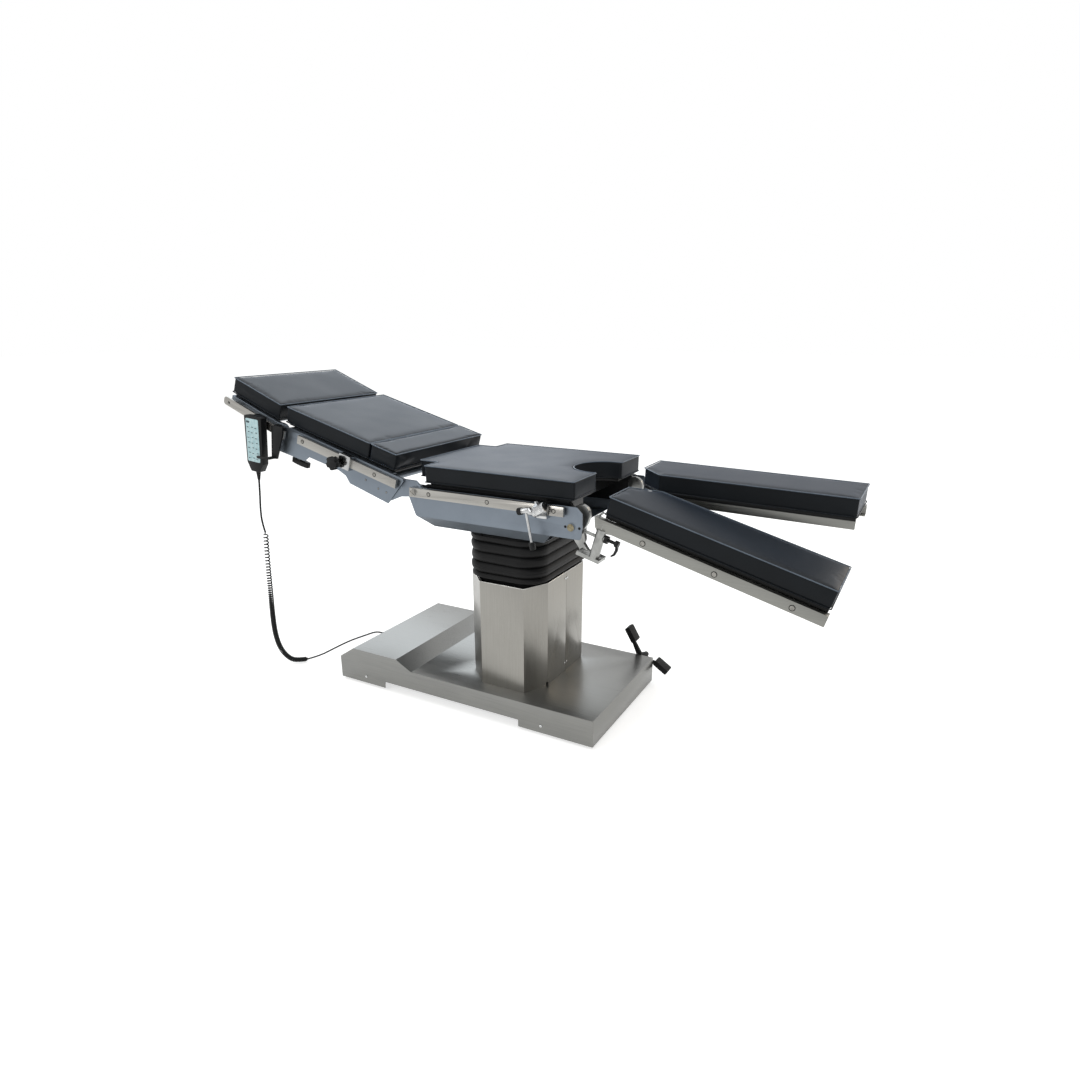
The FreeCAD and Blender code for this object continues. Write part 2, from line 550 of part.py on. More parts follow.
def draw_rounded(sketch, x, half_x, half_y, radius):
    """A rounded rectangle about (x, 0): four edges joined by four arcs."""
    corners = [("1", "-1"), ("1", "1"), ("-1", "1"), ("-1", "-1")]
    ends = []
    for i, (sx, sy) in enumerate(corners):
        flat = ("%s + %s * (%s)" % (x, sx, half_x), "%s * (%s - %s)" % (sy, half_y, radius))
        level = ("%s + %s * (%s - %s)" % (x, sx, half_x, radius), "%s * (%s)" % (sy, half_y))
        ends.append((level, flat) if i % 2 == 0 else (flat, level))
    first = sketch.GeometryCount
    for i in range(4):
        start, stop = ends[i][1], ends[(i + 1) % 4][0]
        line = Part.LineSegment(FreeCAD.Vector(number(start[0]), number(start[1]), 0),
                                FreeCAD.Vector(number(stop[0]), number(stop[1]), 0))
        sketch.addGeometry(line, False)
        for end, point in ((1, start), (2, stop)):
            hold(sketch, "DistanceX", -1, 1, first + i, end, size=point[0])
            hold(sketch, "DistanceY", -1, 1, first + i, end, size=point[1])
    for i, (sx, sy) in enumerate(corners):
        centre = FreeCAD.Vector(number("%s + %s * (%s - %s)" % (x, sx, half_x, radius)),
                                number("%s * (%s - %s)" % (sy, half_y, radius)), 0)
        circle = Part.Circle(centre, FreeCAD.Vector(0, 0, 1), number(radius))
        begin = (i - 1) * math.pi / 2
        arc = sketch.addGeometry(Part.ArcOfCircle(circle, begin, begin + math.pi / 2), False)
        sketch.addConstraint(Sketcher.Constraint("Coincident", arc, 1, first + (i + 3) % 4, 2))
        sketch.addConstraint(Sketcher.Constraint("Coincident", arc, 2, first + i, 1))
        hold(sketch, "Radius", arc, size=radius)


# Bellows: a rubber concertina from inside the column cover to the seat trough.
bellows = new_body("bellows")
rings = [("bellows_low", "collar_half", "collar_wide", "collar_corner"),
         ("bellows_neck", "collar_half", "collar_wide", "collar_corner")]
folds = int(number("bellows_folds"))
for i in range(folds):
    pitch = "(bellows_top - bellows_neck) / bellows_folds"
    start = "bellows_neck + %d * %s" % (i, pitch)
    rings.append((start + " + 0.3 * " + pitch, "bellows_half", "bellows_wide", "bellows_corner"))
    rings.append((start + " + 0.75 * " + pitch, "bellows_half - 1.5", "bellows_wide - 1.5",
                  "bellows_corner"))
    rings.append((start + " + " + pitch, "bellows_half - bellows_depth",
                  "bellows_wide - bellows_depth", "bellows_corner - bellows_depth"))
rings.append(("bellows_cuff",) + rings[-1][1:])
outlines = []
for at, half_x, half_y, radius in rings:
    ring = new_sketch(bellows, "XY", at)
    draw_rounded(ring, "column_x - bellows_shift", half_x, half_y, radius)
    outlines.append(ring)
loft = bellows.newObject("PartDesign::AdditiveLoft", "bellows_loft")
loft.Profile = outlines[0]
loft.Sections = outlines[1:]
loft.Ruled = True
cut(bellows, "XY", "bellows_low - 1", "bellows_cuff + 1",
    box("column_x - bellows_hole", "column_x + bellows_hole",
        "-bellows_hole_wide", "bellows_hole_wide"))

# Seat trough: one folded sheet, a floor with bent-in facets and two side plates.
trough = new_body("seat_trough")
panel_low = "seat_top - pad_thick - panel_thick"
rail_top = "seat_top - rail_drop"
facet_top = "trough_floor + facet_high"
shape = [
    ("-trough_head", "trough_floor"), ("-shoulder_x", "shoulder_z"), ("-prow_x", "prow_z"),
    ("-back_hinge_x - 18", rail_top), ("brow_x", rail_top), ("cheek_x", "cheek_z"),
    ("cheek_x", "leg_z"), ("heel_x", "heel_z"), ("step_x", "heel_z"),
    ("trough_foot", "trough_floor")]
block(trough, "XZ", "-plate_face", "plate_face", shape)
soften(trough, "10", lambda edge: along(edge, (0, 1, 0)) and any(
    abs(edge.CenterOfMass.x - number(x)) < 0.1 and abs(edge.CenterOfMass.z - number(z)) < 0.1
    for x, z in (("heel_x", "heel_z"), ("-prow_x", "prow_z"), ("step_x", "heel_z"))))
facet_y = "plate_face - facet_in"
for side in sides("near", "far"):
    cut(trough, "YZ", "-prow_x - 1", "cheek_x + 1", [
        (side + " * (plate_face + 1)", facet_top), (side + " * plate_face", facet_top),
        (side + " * (%s)" % facet_y, "trough_floor"),
        (side + " * (%s)" % facet_y, "trough_floor - 1"),
        (side + " * (plate_face + 1)", "trough_floor - 1")])
wall = "plate_face - side_sheet"
cut(trough, "YZ", "-prow_x - 1", "cheek_x + 1", [
    ("-(%s)" % wall, rail_top + " + 1"), (wall, rail_top + " + 1"), (wall, facet_top),
    (facet_y + " - side_sheet * 0.5", "trough_floor + side_sheet"),
    ("-(%s) + side_sheet * 0.5" % facet_y, "trough_floor + side_sheet"),
    ("-(%s)" % wall, facet_top)])
for x, z, radius in (("-back_hinge_x", "back_hinge_z", "hinge_pin"),
                     ("leg_x", "leg_z", "leg_pin")):
    bore(trough, "XZ", "-plate_face - 1", "plate_face + 1", x, z, radius + " + pin_gap")
for shift_x in "-19", "27":
    bore(trough, "XZ", "-plate_face - 1", "plate_face + 1", "leg_x + " + shift_x, "leg_z", "3")

# Seat frame: two cheek beams tied across, with the bores of the four hinges.
beams = new_body("seat_frame")
for side in sides("near", "far"):
    low, high = span(side, "beam_face - beam_thick", "beam_face")
    block(beams, "XZ", low, high, [
        ("-back_hinge_x - 16", "back_hinge_z - 16"), ("-back_hinge_x - 16", panel_low + " - 4"),
        ("-seat_head - 4", panel_low + " - 4"), ("-seat_head - 4", panel_low),
        ("leg_x - 20", panel_low), ("leg_x + 24", "leg_z + 30"), ("leg_x + 24", "leg_z - 24"),
        ("leg_x - 30", "leg_z - 24"), ("step_x - 40", "beam_low"),
        ("-seat_head + 20", "beam_low")])
    for x, z, radius in (("-back_hinge_x", "back_hinge_z", "hinge_pin"),
                         ("leg_x", "leg_z", "leg_pin")):
        bore(beams, "XZ", low + " - 1", high + " + 1", x, z, radius + " + pin_gap")
tie_top = panel_low
for x in "-tie_head", "tie_foot":
    block(beams, "XZ", "-beam_face + beam_thick", "beam_face - beam_thick",
          box(x + " - tie_wide / 2", x + " + tie_wide / 2", tie_top + " - tie_high", tie_top))
    block(beams, "XZ", "-wing_half", "wing_half",
          box(x + " - 5", x + " + 5", "trough_floor + side_sheet", tie_top + " - tie_high"))

# Seat panel: the black moulded board that the pad is fixed on.
panel = new_body("seat_panel")


def seat_outline(inset, opening):
    edge = "(top_width / 2 - %s)" % inset
    return [("-seat_head + " + inset, "-" + edge), ("seat_foot - " + inset, "-" + edge),
            ("seat_foot - " + inset, "-(%s)" % opening),
            ("cut_centre", "-(%s)" % opening), ("cut_centre", opening),
            ("seat_foot - " + inset, opening), ("seat_foot - " + inset, edge),
            ("-seat_head + " + inset, edge), ("-seat_head + " + inset, "tab_half - " + inset),
            ("-tab_head + " + inset, "tab_half - " + inset),
            ("-tab_head + " + inset, "-tab_half + " + inset),
            ("-seat_head + " + inset, "-tab_half + " + inset)]


pad_low = "seat_top - pad_thick"
block(panel, "XY", panel_low, pad_low, seat_outline("panel_inset", "cut_half + 6"))
bore(panel, "XY", panel_low + " - 1", pad_low + " + 1", "cut_centre", "0", "cut_half + 6")

# Seat pad: foam under a fitted cover, with a rounded cut-out at the foot end.
pad = new_body("seat_pad")
block(pad, "XY", pad_low, "seat_top", seat_outline("0", "cut_half"))
bore(pad, "XY", pad_low + " - 1", "seat_top + 1", "cut_centre", "0", "cut_half")
soften(pad, "6", lambda edge: along(edge, (0, 0, 1)))


def rails(name, frame, start, stop, top, posts, post_from):
    """The accessory rail on both sides of a section, on its round spacers."""
    pair = new_body(name, frame)
    low_z = "(%s) - rail_high" % top
    for side in sides("near", "far"):
        low, high = span(side, "rail_face - rail_thick", "rail_face")
        block(pair, "XZ", low, high, box(start, stop, low_z, top))
        low, high = span(side, post_from, "rail_face - rail_thick")
        for at in posts:
            rod(pair, "XZ", low, high, at, "(%s) - rail_high / 2" % top, "post_radius")
    return pair


seat_rails = rails("seat_rails", ROW, "-seat_rail_head", "seat_rail_foot", rail_top,
                   ["-seat_post_a", "seat_post_b", "seat_post_c"], "plate_face")
bore(seat_rails, "XZ", "-rail_face - 1", "rail_face + 1", "-back_hinge_x", "back_hinge_z",
     "boss_radius + 0.4")

# Hinge pins: headed pins for the back hinge and the leg hinges.
pins = new_body("hinge_pins")
pin_in = "beam_face - beam_thick"
for side in sides("near", "far"):
    low, high = span(side, pin_in, "plate_face")
    rod(pins, "XZ", low, high, "-back_hinge_x", "back_hinge_z", "hinge_pin")
    low, high = span(side, "leg_arm_face - arm_thick - 2", "plate_face")
    rod(pins, "XZ", low, high, "leg_x", "leg_z", "leg_pin")
    low, high = span(side, "plate_face", "rail_face + 3")
    rod(pins, "XZ", low, high, "-back_hinge_x", "back_hinge_z", "boss_radius")
    low, high = span(side, "plate_face", "plate_face + 3")
    rod(pins, "XZ", low, high, "leg_x", "leg_z", "leg_pin + 1")

# Back frame: side plates with inward top flanges, hinge arms and cross tubes.
back_frame = new_body("back_frame", BACK)
back_rail_top = "back_pad_top - rail_drop"
back_panel_low = "back_pad_top - pad_thick - panel_thick"
for side in sides("near", "far"):
    low, high = span(side, "plate_face - side_sheet", "plate_face")
    block(back_frame, "XZ", low, high, [
        ("56", "13"), ("60", back_panel_low), ("head_hinge - 12", back_panel_low),
        ("head_hinge + 22", "12"), ("head_hinge + 22", "-22"), ("head_hinge - 2", "-81"),
        ("487", "-75"), ("468", "-53"), ("330", "-50"), ("296", "-58"), ("274", "-78"),
        ("102", "-85")])
    low, high = span(side, "plate_face - flange_wide", "plate_face - side_sheet")
    block(back_frame, "XZ", low, high,
          box("lumbar_start", "head_hinge - 40", back_panel_low + " - side_sheet", back_panel_low))
    low, high = span(side, "arm_face", "plate_face - side_sheet")
    block(back_frame, "XZ", low, high, [
        ("64", "10"), ("150", "10"), ("150", "-60"), ("98", "-74")])
    low, high = span(side, "arm_face - arm_thick", "arm_face")
    rod(back_frame, "XZ", low, high, "0", "0", "arm_eye")
    block(back_frame, "XZ", low, high, [
        ("-6", "-arm_eye + 1"), ("0", "arm_eye"), ("19", "27"), ("62", "16"), ("150", "10"),
        ("150", "-60"), ("98", "-74"), ("60", "-44")])
    bore(back_frame, "XZ", low + " - 1", high + " + 1", "0", "0", "hinge_pin + pin_gap")
    low, high = span(side, "head_knob_in - socket_wide / 2", "plate_face - side_sheet")
    block(back_frame, "XZ", low, high,
          box("head_knob_at - socket_long / 2", "head_knob_at + socket_long / 2",
              "-socket_low", "-socket_low + 30"))
    low, high = span(side, "arm_face - head_bar - 2", "plate_face - side_sheet")
    rod(back_frame, "XZ", low, high, "head_hinge", "0", "hinge_pin")
    low, high = span(side, "plate_face", "plate_face + 2")
    rod(back_frame, "XZ", low, high, "head_hinge", "0", "hinge_pin + 3")
for at in "back_tube_a", "back_tube_b":
    rod(back_frame, "XZ", "-plate_face + side_sheet", "plate_face - side_sheet", at,
        "-back_tube_drop", "back_tube")
for side in sides("near", "far"):
    bore(back_frame, "XY", "-socket_low - 1", "-socket_low + 31", "head_knob_at",
         "%s * -head_knob_in" % side, "6 + pin_gap")

# Back panel and its two pads, the small one over the lumbar gap.
back_panel = new_body("back_panel", BACK)
edge = "top_width / 2 - panel_inset"
block(back_panel, "XY", back_panel_low, "back_pad_top - pad_thick",
      box("lumbar_start + 4", "back_pad_end - 6", "-(%s)" % edge, edge))
for name, start, stop in (("lumbar_pad", "lumbar_start", "lumbar_end - pad_gap"),
                          ("back_pad", "lumbar_end", "back_pad_end")):
    cushion = new_body(name, BACK)
    block(cushion, "XY", "back_pad_top - pad_thick", "back_pad_top",
          box(start, stop, "-top_width / 2", "top_width / 2"))
    soften(cushion, "6", lambda edge: along(edge, (0, 0, 1)))

rails("back_rails", BACK, "back_rail_start", "back_rail_end", back_rail_top,
      ["back_post_a", "back_post_b", "back_post_c"], "plate_face")

# Head frame: two side bars with hinge eyes and a cross tube.
head_frame = new_body("head_frame", HEAD)
head_panel_low = "head_pad_top - pad_thick - panel_thick"
for side in sides("near", "far"):
    low, high = span(side, "arm_face - head_bar", "arm_face")
    rod(head_frame, "XZ", low, high, "0", "0", "head_eye")
    block(head_frame, "XZ", low, high, [
        ("0", "-head_eye"), ("0", "head_eye"), ("8", "head_eye"), ("22", head_panel_low),
        ("head_end - 8", head_panel_low), ("head_end - 8", head_panel_low + " - 18"),
        ("60", head_panel_low + " - 26")])
    bore(head_frame, "XZ", low + " - 1", high + " + 1", "0", "0", "hinge_pin + pin_gap")
for at in "head_tie", "head_tube":
    block(head_frame, "XZ", "-arm_face + head_bar", "arm_face - head_bar",
          box(at + " - tie_wide / 2", at + " + tie_wide / 2", head_panel_low + " - 12",
              head_panel_low))

head_panel = new_body("head_panel", HEAD)
block(head_panel, "XY", head_panel_low, "head_pad_top - pad_thick",
      box("head_start + 6", "head_end - 4", "-(%s)" % edge, edge))
head_pad = new_body("head_pad", HEAD)
block(head_pad, "XY", "head_pad_top - pad_thick", "head_pad_top",
      box("head_start", "head_end", "-top_width / 2", "top_width / 2"))
soften(head_pad, "6", lambda edge: along(edge, (0, 0, 1)))

head_rails = rails("head_rails", HEAD, "head_rail_start", "head_rail_end",
                   "head_pad_top - rail_drop", ["head_post_a", "head_post_b"], "arm_face")
soften(head_rails, "rail_nose", lambda edge: along(edge, (0, 1, 0))
       and edge.Length < number("rail_thick + 1")
       and abs(edge.CenterOfMass.x - number("head_rail_end")) < 0.1)
bore(head_rails, "XZ", "-rail_face - 1", "rail_face + 1", "head_rail_end - rail_hole_back",
     "head_pad_top - rail_drop - rail_high / 2", "rail_hole")

# Head lock knobs: wing knobs on upright spindles under the back frame.
for label, side in (("near", "1"), ("far", "-1")):
    knob = new_body("head_knob_" + label,
                    BACK * place("head_knob_at", side + " * head_knob_in", "0"))
    rod(knob, "XY", "-head_knob_low + wing_thick", "-socket_low + 20", "0", "0", "6")
    low_w, high_w = "-head_knob_low", "-head_knob_low + wing_thick"
    rod(knob, "XY", low_w, high_w, "0", "0", "13")
    block(knob, "XY", low_w, high_w, [
        ("-wing_half", "-9"), ("-10", "-13"), ("10", "-13"), ("wing_half", "-9"),
        ("wing_half", "9"), ("10", "13"), ("-10", "13"), ("-wing_half", "9")])
    soften(knob, "6", lambda edge: along(edge, (0, 0, 1)) 
           and abs(edge.CenterOfMass.x) > number("wing_half / 2"))

# Legs: each has a hinge arm, a swinging frame, a panel, a pad and a lock lever.
for label, side, frame_at in (("near", "-1", NEAR_LEG), ("far", "1", FAR_LEG)):
    arm = new_body("leg_arm_" + label, frame_at)
    low, high = span(side, "leg_arm_face - arm_thick", "leg_arm_face")
    rod(arm, "XZ", low, high, "0", "0", "leg_hub")
    ledge_top = "barrel_low - ledge_gap"
    block(arm, "XZ", low, high, [
        ("-22", "16"), ("-19", "52"), ("-10", "62"), ("2", "65"), ("16", "62"), ("26", "54"),
        ("33", "40"), ("32", "14"), ("22", "-16"), ("36", "-46"), ("ledge_start + 20", ledge_top),
        ("ledge_start", ledge_top + " - ledge_thick"), ("6", "-50"), ("-20", "-16")])
    rod(arm, "YZ", "20", "swing_at - barrel_radius - 3",
        "%s * (leg_arm_face - arm_thick / 2)" % side, "-12", "stop_rod")
    low, high = span(side, "leg_arm_face - arm_thick", "swing_y + 12")
    block(arm, "XZ", low, high,
          box("ledge_start", "swing_at + 22", ledge_top + " - ledge_thick", ledge_top))
    swing = side + " * swing_y"
    rod(arm, "XY", ledge_top, "swing_pin_top", "swing_at", swing, "swing_pin")
    low, high = span(side, "leg_arm_face - arm_thick - 1", "leg_arm_face + 1")
    bore(arm, "XZ", low, high, "0", "0", "leg_pin + pin_gap")

    leg_frame = new_body("leg_frame_" + label, frame_at)
    low, high = span(side, "leg_face - leg_bar_thick", "leg_face")
    block(leg_frame, "XZ", low, high,
          box("leg_bar_start", "leg_end", "leg_bar_low", "leg_bar_high"))
    channel = span(side, "leg_face - leg_bar_thick - 1", "leg_face - 5")
    cut(leg_frame, "XZ", channel[0], channel[1],
        box("leg_bar_start + 30", "leg_end + 1", "leg_bar_low + 5", "leg_bar_high - 5"))
    low, high = span(side, "leg_inner + 12", "leg_inner + 12 + inner_bar_thick")
    block(leg_frame, "XZ", low, high,
          box("leg_start + hip_along + 4", "leg_end - 6", "leg_bar_low + 8", "leg_bar_high"))
    for at in "leg_tie_a", "leg_tie_b":
        low, high = span(side, "leg_inner + 12 + inner_bar_thick", "leg_face - leg_bar_thick")
        block(leg_frame, "XZ", low, high,
              box(at + " - leg_tie_wide / 2", at + " + leg_tie_wide / 2",
                  "leg_bar_low + 14", "leg_bar_high"))
    low, high = span(side, "swing_y - 15", "leg_face")
    block(leg_frame, "XZ", low, high, [
        ("swing_at - 32", "barrel_high + 30"), ("swing_at - 26", "barrel_high + 34"),
        ("swing_at - 16", "leg_bar_high"), ("leg_bar_start + 2", "leg_bar_high"),
        ("leg_bar_start + 2", "leg_bar_low"), ("swing_at + 12", "barrel_high - 8"),
        ("swing_at - 13", "barrel_high - 8"), ("swing_at - 22", "barrel_high + 2")])
    rod(leg_frame, "XY", "barrel_low", "barrel_high", "swing_at", swing, "barrel_radius")
    bore(leg_frame, "XY", "barrel_low - 1", "swing_pin_top + ledge_gap", "swing_at", swing,
         "swing_pin + pin_gap")
    rod(leg_frame, "YZ", "swing_at + barrel_radius - 3", "lock_at + 2", swing, "lock_z", "8")

    def leg_outline(inset):
        inner_y, outer_y = "leg_inner + " + inset, "leg_outer - " + inset
        return [("leg_start + " + inset, "%s * (%s)" % (side, outer_y)),
                ("leg_end - " + inset, "%s * (%s)" % (side, outer_y)),
                ("leg_end - " + inset, "%s * (%s)" % (side, inner_y)),
                ("leg_start + hip_along + " + inset, "%s * (%s)" % (side, inner_y)),
                ("leg_start + " + inset, "%s * (leg_inner + hip_across + %s)" % (side, inset))]

    leg_panel = new_body("leg_panel_" + label, frame_at)
    block(leg_panel, "XY", "leg_bar_high", "leg_pad_top - pad_thick", leg_outline("6"))
    leg_pad = new_body("leg_pad_" + label, frame_at)
    block(leg_pad, "XY", "leg_pad_top - pad_thick", "leg_pad_top", leg_outline("0"))
    soften(leg_pad, "6", lambda edge: along(edge, (0, 0, 1)))

    lever = new_body("leg_lock_" + label,
                     frame_at * place("lock_at", swing, "lock_z"))
    rod(lever, "YZ", "2.4", "14", "0", "0", "lock_hub")
    rod(lever, "YZ", "14", "40", "0", "0", "5")
    rod(lever, "YZ", "36", "48", "0", "0", "lock_ring")
    block(lever, "XZ", "-4", "4", [
        ("38", "0"), ("46", "0"), ("50", "-lock_tail * 0.4"), ("46", "-lock_tail * 0.8"),
        ("36", "-lock_tail"), ("34", "-lock_tail + 5"), ("40", "-lock_tail * 0.72"),
        ("42", "-lock_tail * 0.4")])


def jaw(body, at, wide_text, top):
    """A clamp jaw that hooks over the rail from outside, with a lip above and below."""
    up, down = "(%s) + jaw_gap" % top, "(%s) - rail_high - jaw_gap" % top
    y_out = "rail_face + jaw_gap + jaw_skin"
    y_lip = "rail_face - rail_thick - jaw_gap - jaw_lip"
    ends = "(%s) - (%s) / 2" % (at, wide_text), "(%s) + (%s) / 2" % (at, wide_text)
    sign = "-1" if body.Placement.Rotation.multVec(FreeCAD.Vector(0, 1, 0)).y > 0 else "1"
    y_mid = "rail_face + jaw_gap"
    y_back = "rail_face - rail_thick - jaw_gap"
    points = [(y_lip, up + " + jaw_skin"), (y_out, up + " + jaw_skin"),
              (y_out, down + " - jaw_skin"), (y_lip, down + " - jaw_skin"),
              (y_lip, down + " + 4"), (y_back, down + " + 4"), (y_back, down), (y_mid, down),
              (y_mid, up), (y_back, up), (y_back, up + " - 4"), (y_lip, up + " - 4")]
    block(body, "YZ", ends[0], ends[1], [("%s * (%s)" % (sign, y), z) for y, z in points])


# Seat rail clamp: a rotary clamp with its spindle lever.
clamp = new_body("seat_clamp")
jaw(clamp, "seat_clamp_x", "jaw_wide", rail_top)
post_x = "seat_clamp_x + 4"
block(clamp, "XY", rail_top + " - rail_high - 2", rail_top + " + 12",
      box(post_x + " - clamp_block", post_x + " + clamp_block",
          "-rail_face - clamp_deep", "-rail_face - 6"))
soften(clamp, "12", lambda edge: along(edge, (0, 0, 1))
       and edge.CenterOfMass.y < number("-rail_face - clamp_deep + 1"))
rod(clamp, "YZ", "spindle_x + 12.8", post_x, "-spindle_y", "spindle_z + 10", "12")
bore(clamp, "XY", rail_top + " - rail_high - 3", rail_top + " + 13", post_x,
     "-rail_face - clamp_deep + clamp_block", "post_bore")
lever = new_body("seat_clamp_handle", place("spindle_x", "-spindle_y", "spindle_z + 10",
                                            turn="-handle_turn"))
rod(lever, "YZ", "-10", "11", "0", "0", "spindle_radius")
rod(lever, "XY", "-handle_long", "6", "0", "0", "handle_radius")
rod(lever, "XY", "-handle_long - 10", "-handle_long + 12", "0", "0", "handle_cap")
rod(lever, "YZ", "-26", "-10", "0", "0", "handle_cap + 2")
soften(lever, "3", lambda edge: edge.Curve.TypeId == "Part::GeomCircle"
       and abs(edge.Curve.Radius - number("handle_cap") - 2) < 0.01
       and edge.CenterOfMass.x < -25)

# Back rail clamp: a jaw tightened by a five-lobed knob.
back_clamp = new_body("back_clamp", BACK)
jaw(back_clamp, "back_clamp_at", "jaw_wide + 8", back_rail_top)
y_knob = "rail_face + jaw_gap + jaw_skin"
block(back_clamp, "XZ", "rail_face + jaw_gap", y_knob, [
    ("back_clamp_at + 10", "-24"), ("back_clamp_at + 10", "6"), ("star_at + 9", "2"),
    ("star_at + 9", "-24")])
star = new_body("back_clamp_knob", BACK * place("star_at", "star_near", "star_z",
                                                axis=(1, 0, 0), turn="-90"))
rod(star, "XY", "0", "star_thick", "0", "0", "star_radius")
rod(star, "XY", "-star_near + rail_face + jaw_gap + jaw_skin + 0.3", "0", "0", "0", "6")
scallop = bore(star, "XY", "-1", "star_thick + 1", "star_radius + 3", "0", "7.5")
ring = star.newObject("PartDesign::PolarPattern", "star_scallops")
ring.Originals = [scallop]
axis = [item for item in star.Origin.OriginFeatures if item.Role == "Z_Axis"][0]
ring.Axis = (axis, [""])
ring.Angle = 360
ring.Occurrences = 5
star.Tip = ring

# Handset holder: a jaw on the head rail with a black arm and its peg.
holder = new_body("holder_jaw_blank", HEAD, keep=False)
jaw(holder, "holder_at", "holder_wide", "head_pad_top - rail_drop")
jaw_spot = HEAD.multVec(FreeCAD.Vector(
    number("holder_at"), 0, number("head_pad_top - rail_drop - rail_high / 2")))
holder_arm = new_body("holder_arm_blank", FreeCAD.Placement(
    FreeCAD.Vector(jaw_spot.x, 0, jaw_spot.z), FreeCAD.Rotation()), keep=False)
arm_y = "-rail_face - jaw_gap - jaw_skin"
peg_y = "-handset_y - handset_thick / 2 - jaw_gap"
block(holder_arm, "XZ", arm_y + " - holder_arm_thick", arm_y, [
    ("40", "22"), ("-14", "26"), ("-30", "-holder_drop"), ("-4", "-holder_drop"), ("34", "-6")])
block(holder_arm, "XY", "-holder_drop", "-holder_drop + 9", [
    ("-16", arm_y + " - holder_arm_thick"), ("-16", peg_y + " - peg_thick"),
    ("-peg_reach", peg_y + " - peg_thick"), ("-peg_reach", peg_y), ("-28", peg_y),
    ("-28", arm_y + " - holder_arm_thick")])
doc.recompute()
whole_holder = doc.addObject("Part::MultiFuse", "handset_holder")
whole_holder.Shapes = [holder, holder_arm]
parts.append(whole_holder)

# Handset: a tapered box with a hook over the head rail and a sleeve for its cord.
hook_spot = HEAD.multVec(FreeCAD.Vector(number("hook_at"), 0, number("head_pad_top - rail_drop")))
HANDSET = FreeCAD.Placement(
    FreeCAD.Vector(hook_spot.x, number("-handset_y"), hook_spot.z + number("handset_proud")),
    FreeCAD.Rotation(FreeCAD.Vector(0, 1, 0), number("handset_turn")))
case = new_body("handset_case_blank", HANDSET, keep=False)
block(case, "XZ", "-handset_thick / 2", "handset_thick / 2", [
    ("-handset_wide / 2", "0"), ("handset_wide / 2", "0"),
    ("handset_wide / 2 - 3", "-handset_long * 0.84"), ("handset_wide / 4", "-handset_long"),
    ("-handset_wide / 4", "-handset_long"), ("-handset_wide / 2 + 3", "-handset_long * 0.84")])
soften(case, "7", lambda edge: along(edge, (0, 1, 0)))
relief = case.newObject("PartDesign::AdditiveCone", "handset_relief")
bind(relief, "Radius1", "relief_radius")
bind(relief, "Radius2", "tail_radius + 1.5")
bind(relief, "Height", "relief_long")
relief.Placement = FreeCAD.Placement(FreeCAD.Vector(0, 0, -number("handset_long") + 1),
                                     FreeCAD.Rotation(FreeCAD.Vector(1, 0, 0), 180))
hook = new_body("handset_hook_blank", HEAD, keep=False)
hook_up = "head_pad_top - rail_drop + jaw_gap"
block(hook, "YZ", "hook_at - hook_wide / 2", "hook_at + hook_wide / 2", [
    ("rail_face - rail_thick - jaw_gap - hook_thick", hook_up + " + hook_thick"),
    ("handset_y - handset_thick / 2 + 6", hook_up + " + hook_thick"),
    ("handset_y - handset_thick / 2 + 6", hook_up + " - 30"),
    ("rail_face + jaw_gap", hook_up + " - 30"), ("rail_face + jaw_gap", hook_up),
    ("rail_face - rail_thick - jaw_gap", hook_up),
    ("rail_face - rail_thick - jaw_gap", hook_up + " - 12"),
    ("rail_face - rail_thick - jaw_gap - hook_thick", hook_up + " - 12")])
doc.recompute()
handset = doc.addObject("Part::MultiFuse", "handset")
handset.Shapes = [case, hook]
parts.append(handset)

# The control cord's route, chosen by hand: x, y and z of each point. It leaves the
# gland, dips to the floor, rises as the curly stretch and ends in the handset.
lead_route = [(-557, 4.8, 78.3), (-578, 0, 84), (-606, -42, 76), (-652, -86, 59),
              (-691, -138, 37), (-722, -190, 18), (-749.7, -225.6, 13.1)]
coil_route = [(-750, -226, 13), (-778, -258, 13), (-808, -272, 22), (-838, -284, 62),
              (-850, -290, 130), (-848, -292, 215), (-838, -296, 320), (-830, -299, 430),
              (-818, -302, 548)]
tail_route = [(-818.3, -302, 549.3), (-829, -303, 590), (-826, -305, 640), (-817.1, -306, 700.3),
              (-812.6, -306, 751.7)]


def bend_radius(before, corner, after):
    """The arc at a corner: 0.45 of its shorter run over the tangent of half its turn."""
    first, second = corner - before, after - corner
    half_turn = first.getAngle(second) / 2
    return 0.45 * min(first.Length, second.Length) / math.tan(half_turn)


def cord_tube(name, route, radius):
    """Straight runs joined by tangent arcs, swept with a round section."""
    points = [FreeCAD.Vector(*point) for point in route]
    edges, start, radii = [], points[0], []
    for before, corner, after in zip(points, points[1:], points[2:]):
        reach = 0.45 * min((corner - before).Length, (after - corner).Length)
        toward = (before - corner).normalize()
        away = (after - corner).normalize()
        arc_start, arc_end = corner + toward * reach, corner + away * reach
        bend = bend_radius(before, corner, after)
        middle = (toward + away).normalize()
        half_inside = (bend ** 2 + reach ** 2) ** 0.5 - bend
        edges.append(Part.LineSegment(start, arc_start).toShape())
        edges.append(Part.Arc(arc_start, corner + middle * half_inside, arc_end).toShape())
        start = arc_end
        radii.append(bend)
    edges.append(Part.LineSegment(start, points[-1]).toShape())
    path = Part.Wire(edges)
    heading = points[1] - points[0]
    section = Part.Wire(Part.Circle(points[0], heading, radius).toShape())
    tube = path.makePipeShell([section], True, False)
    expected = math.pi * radius ** 2 * path.Length
    print("%s length %.1f, volume over section times length %.4f, radii %s" % (
        name, path.Length, tube.Volume / expected, ["%.0f" % bend for bend in radii]))
    cord = doc.addObject("Part::Feature", name)
    cord.Label = name
    cord.Shape = tube
    cord.Placement = FreeCAD.Placement()
    parts.append(cord)


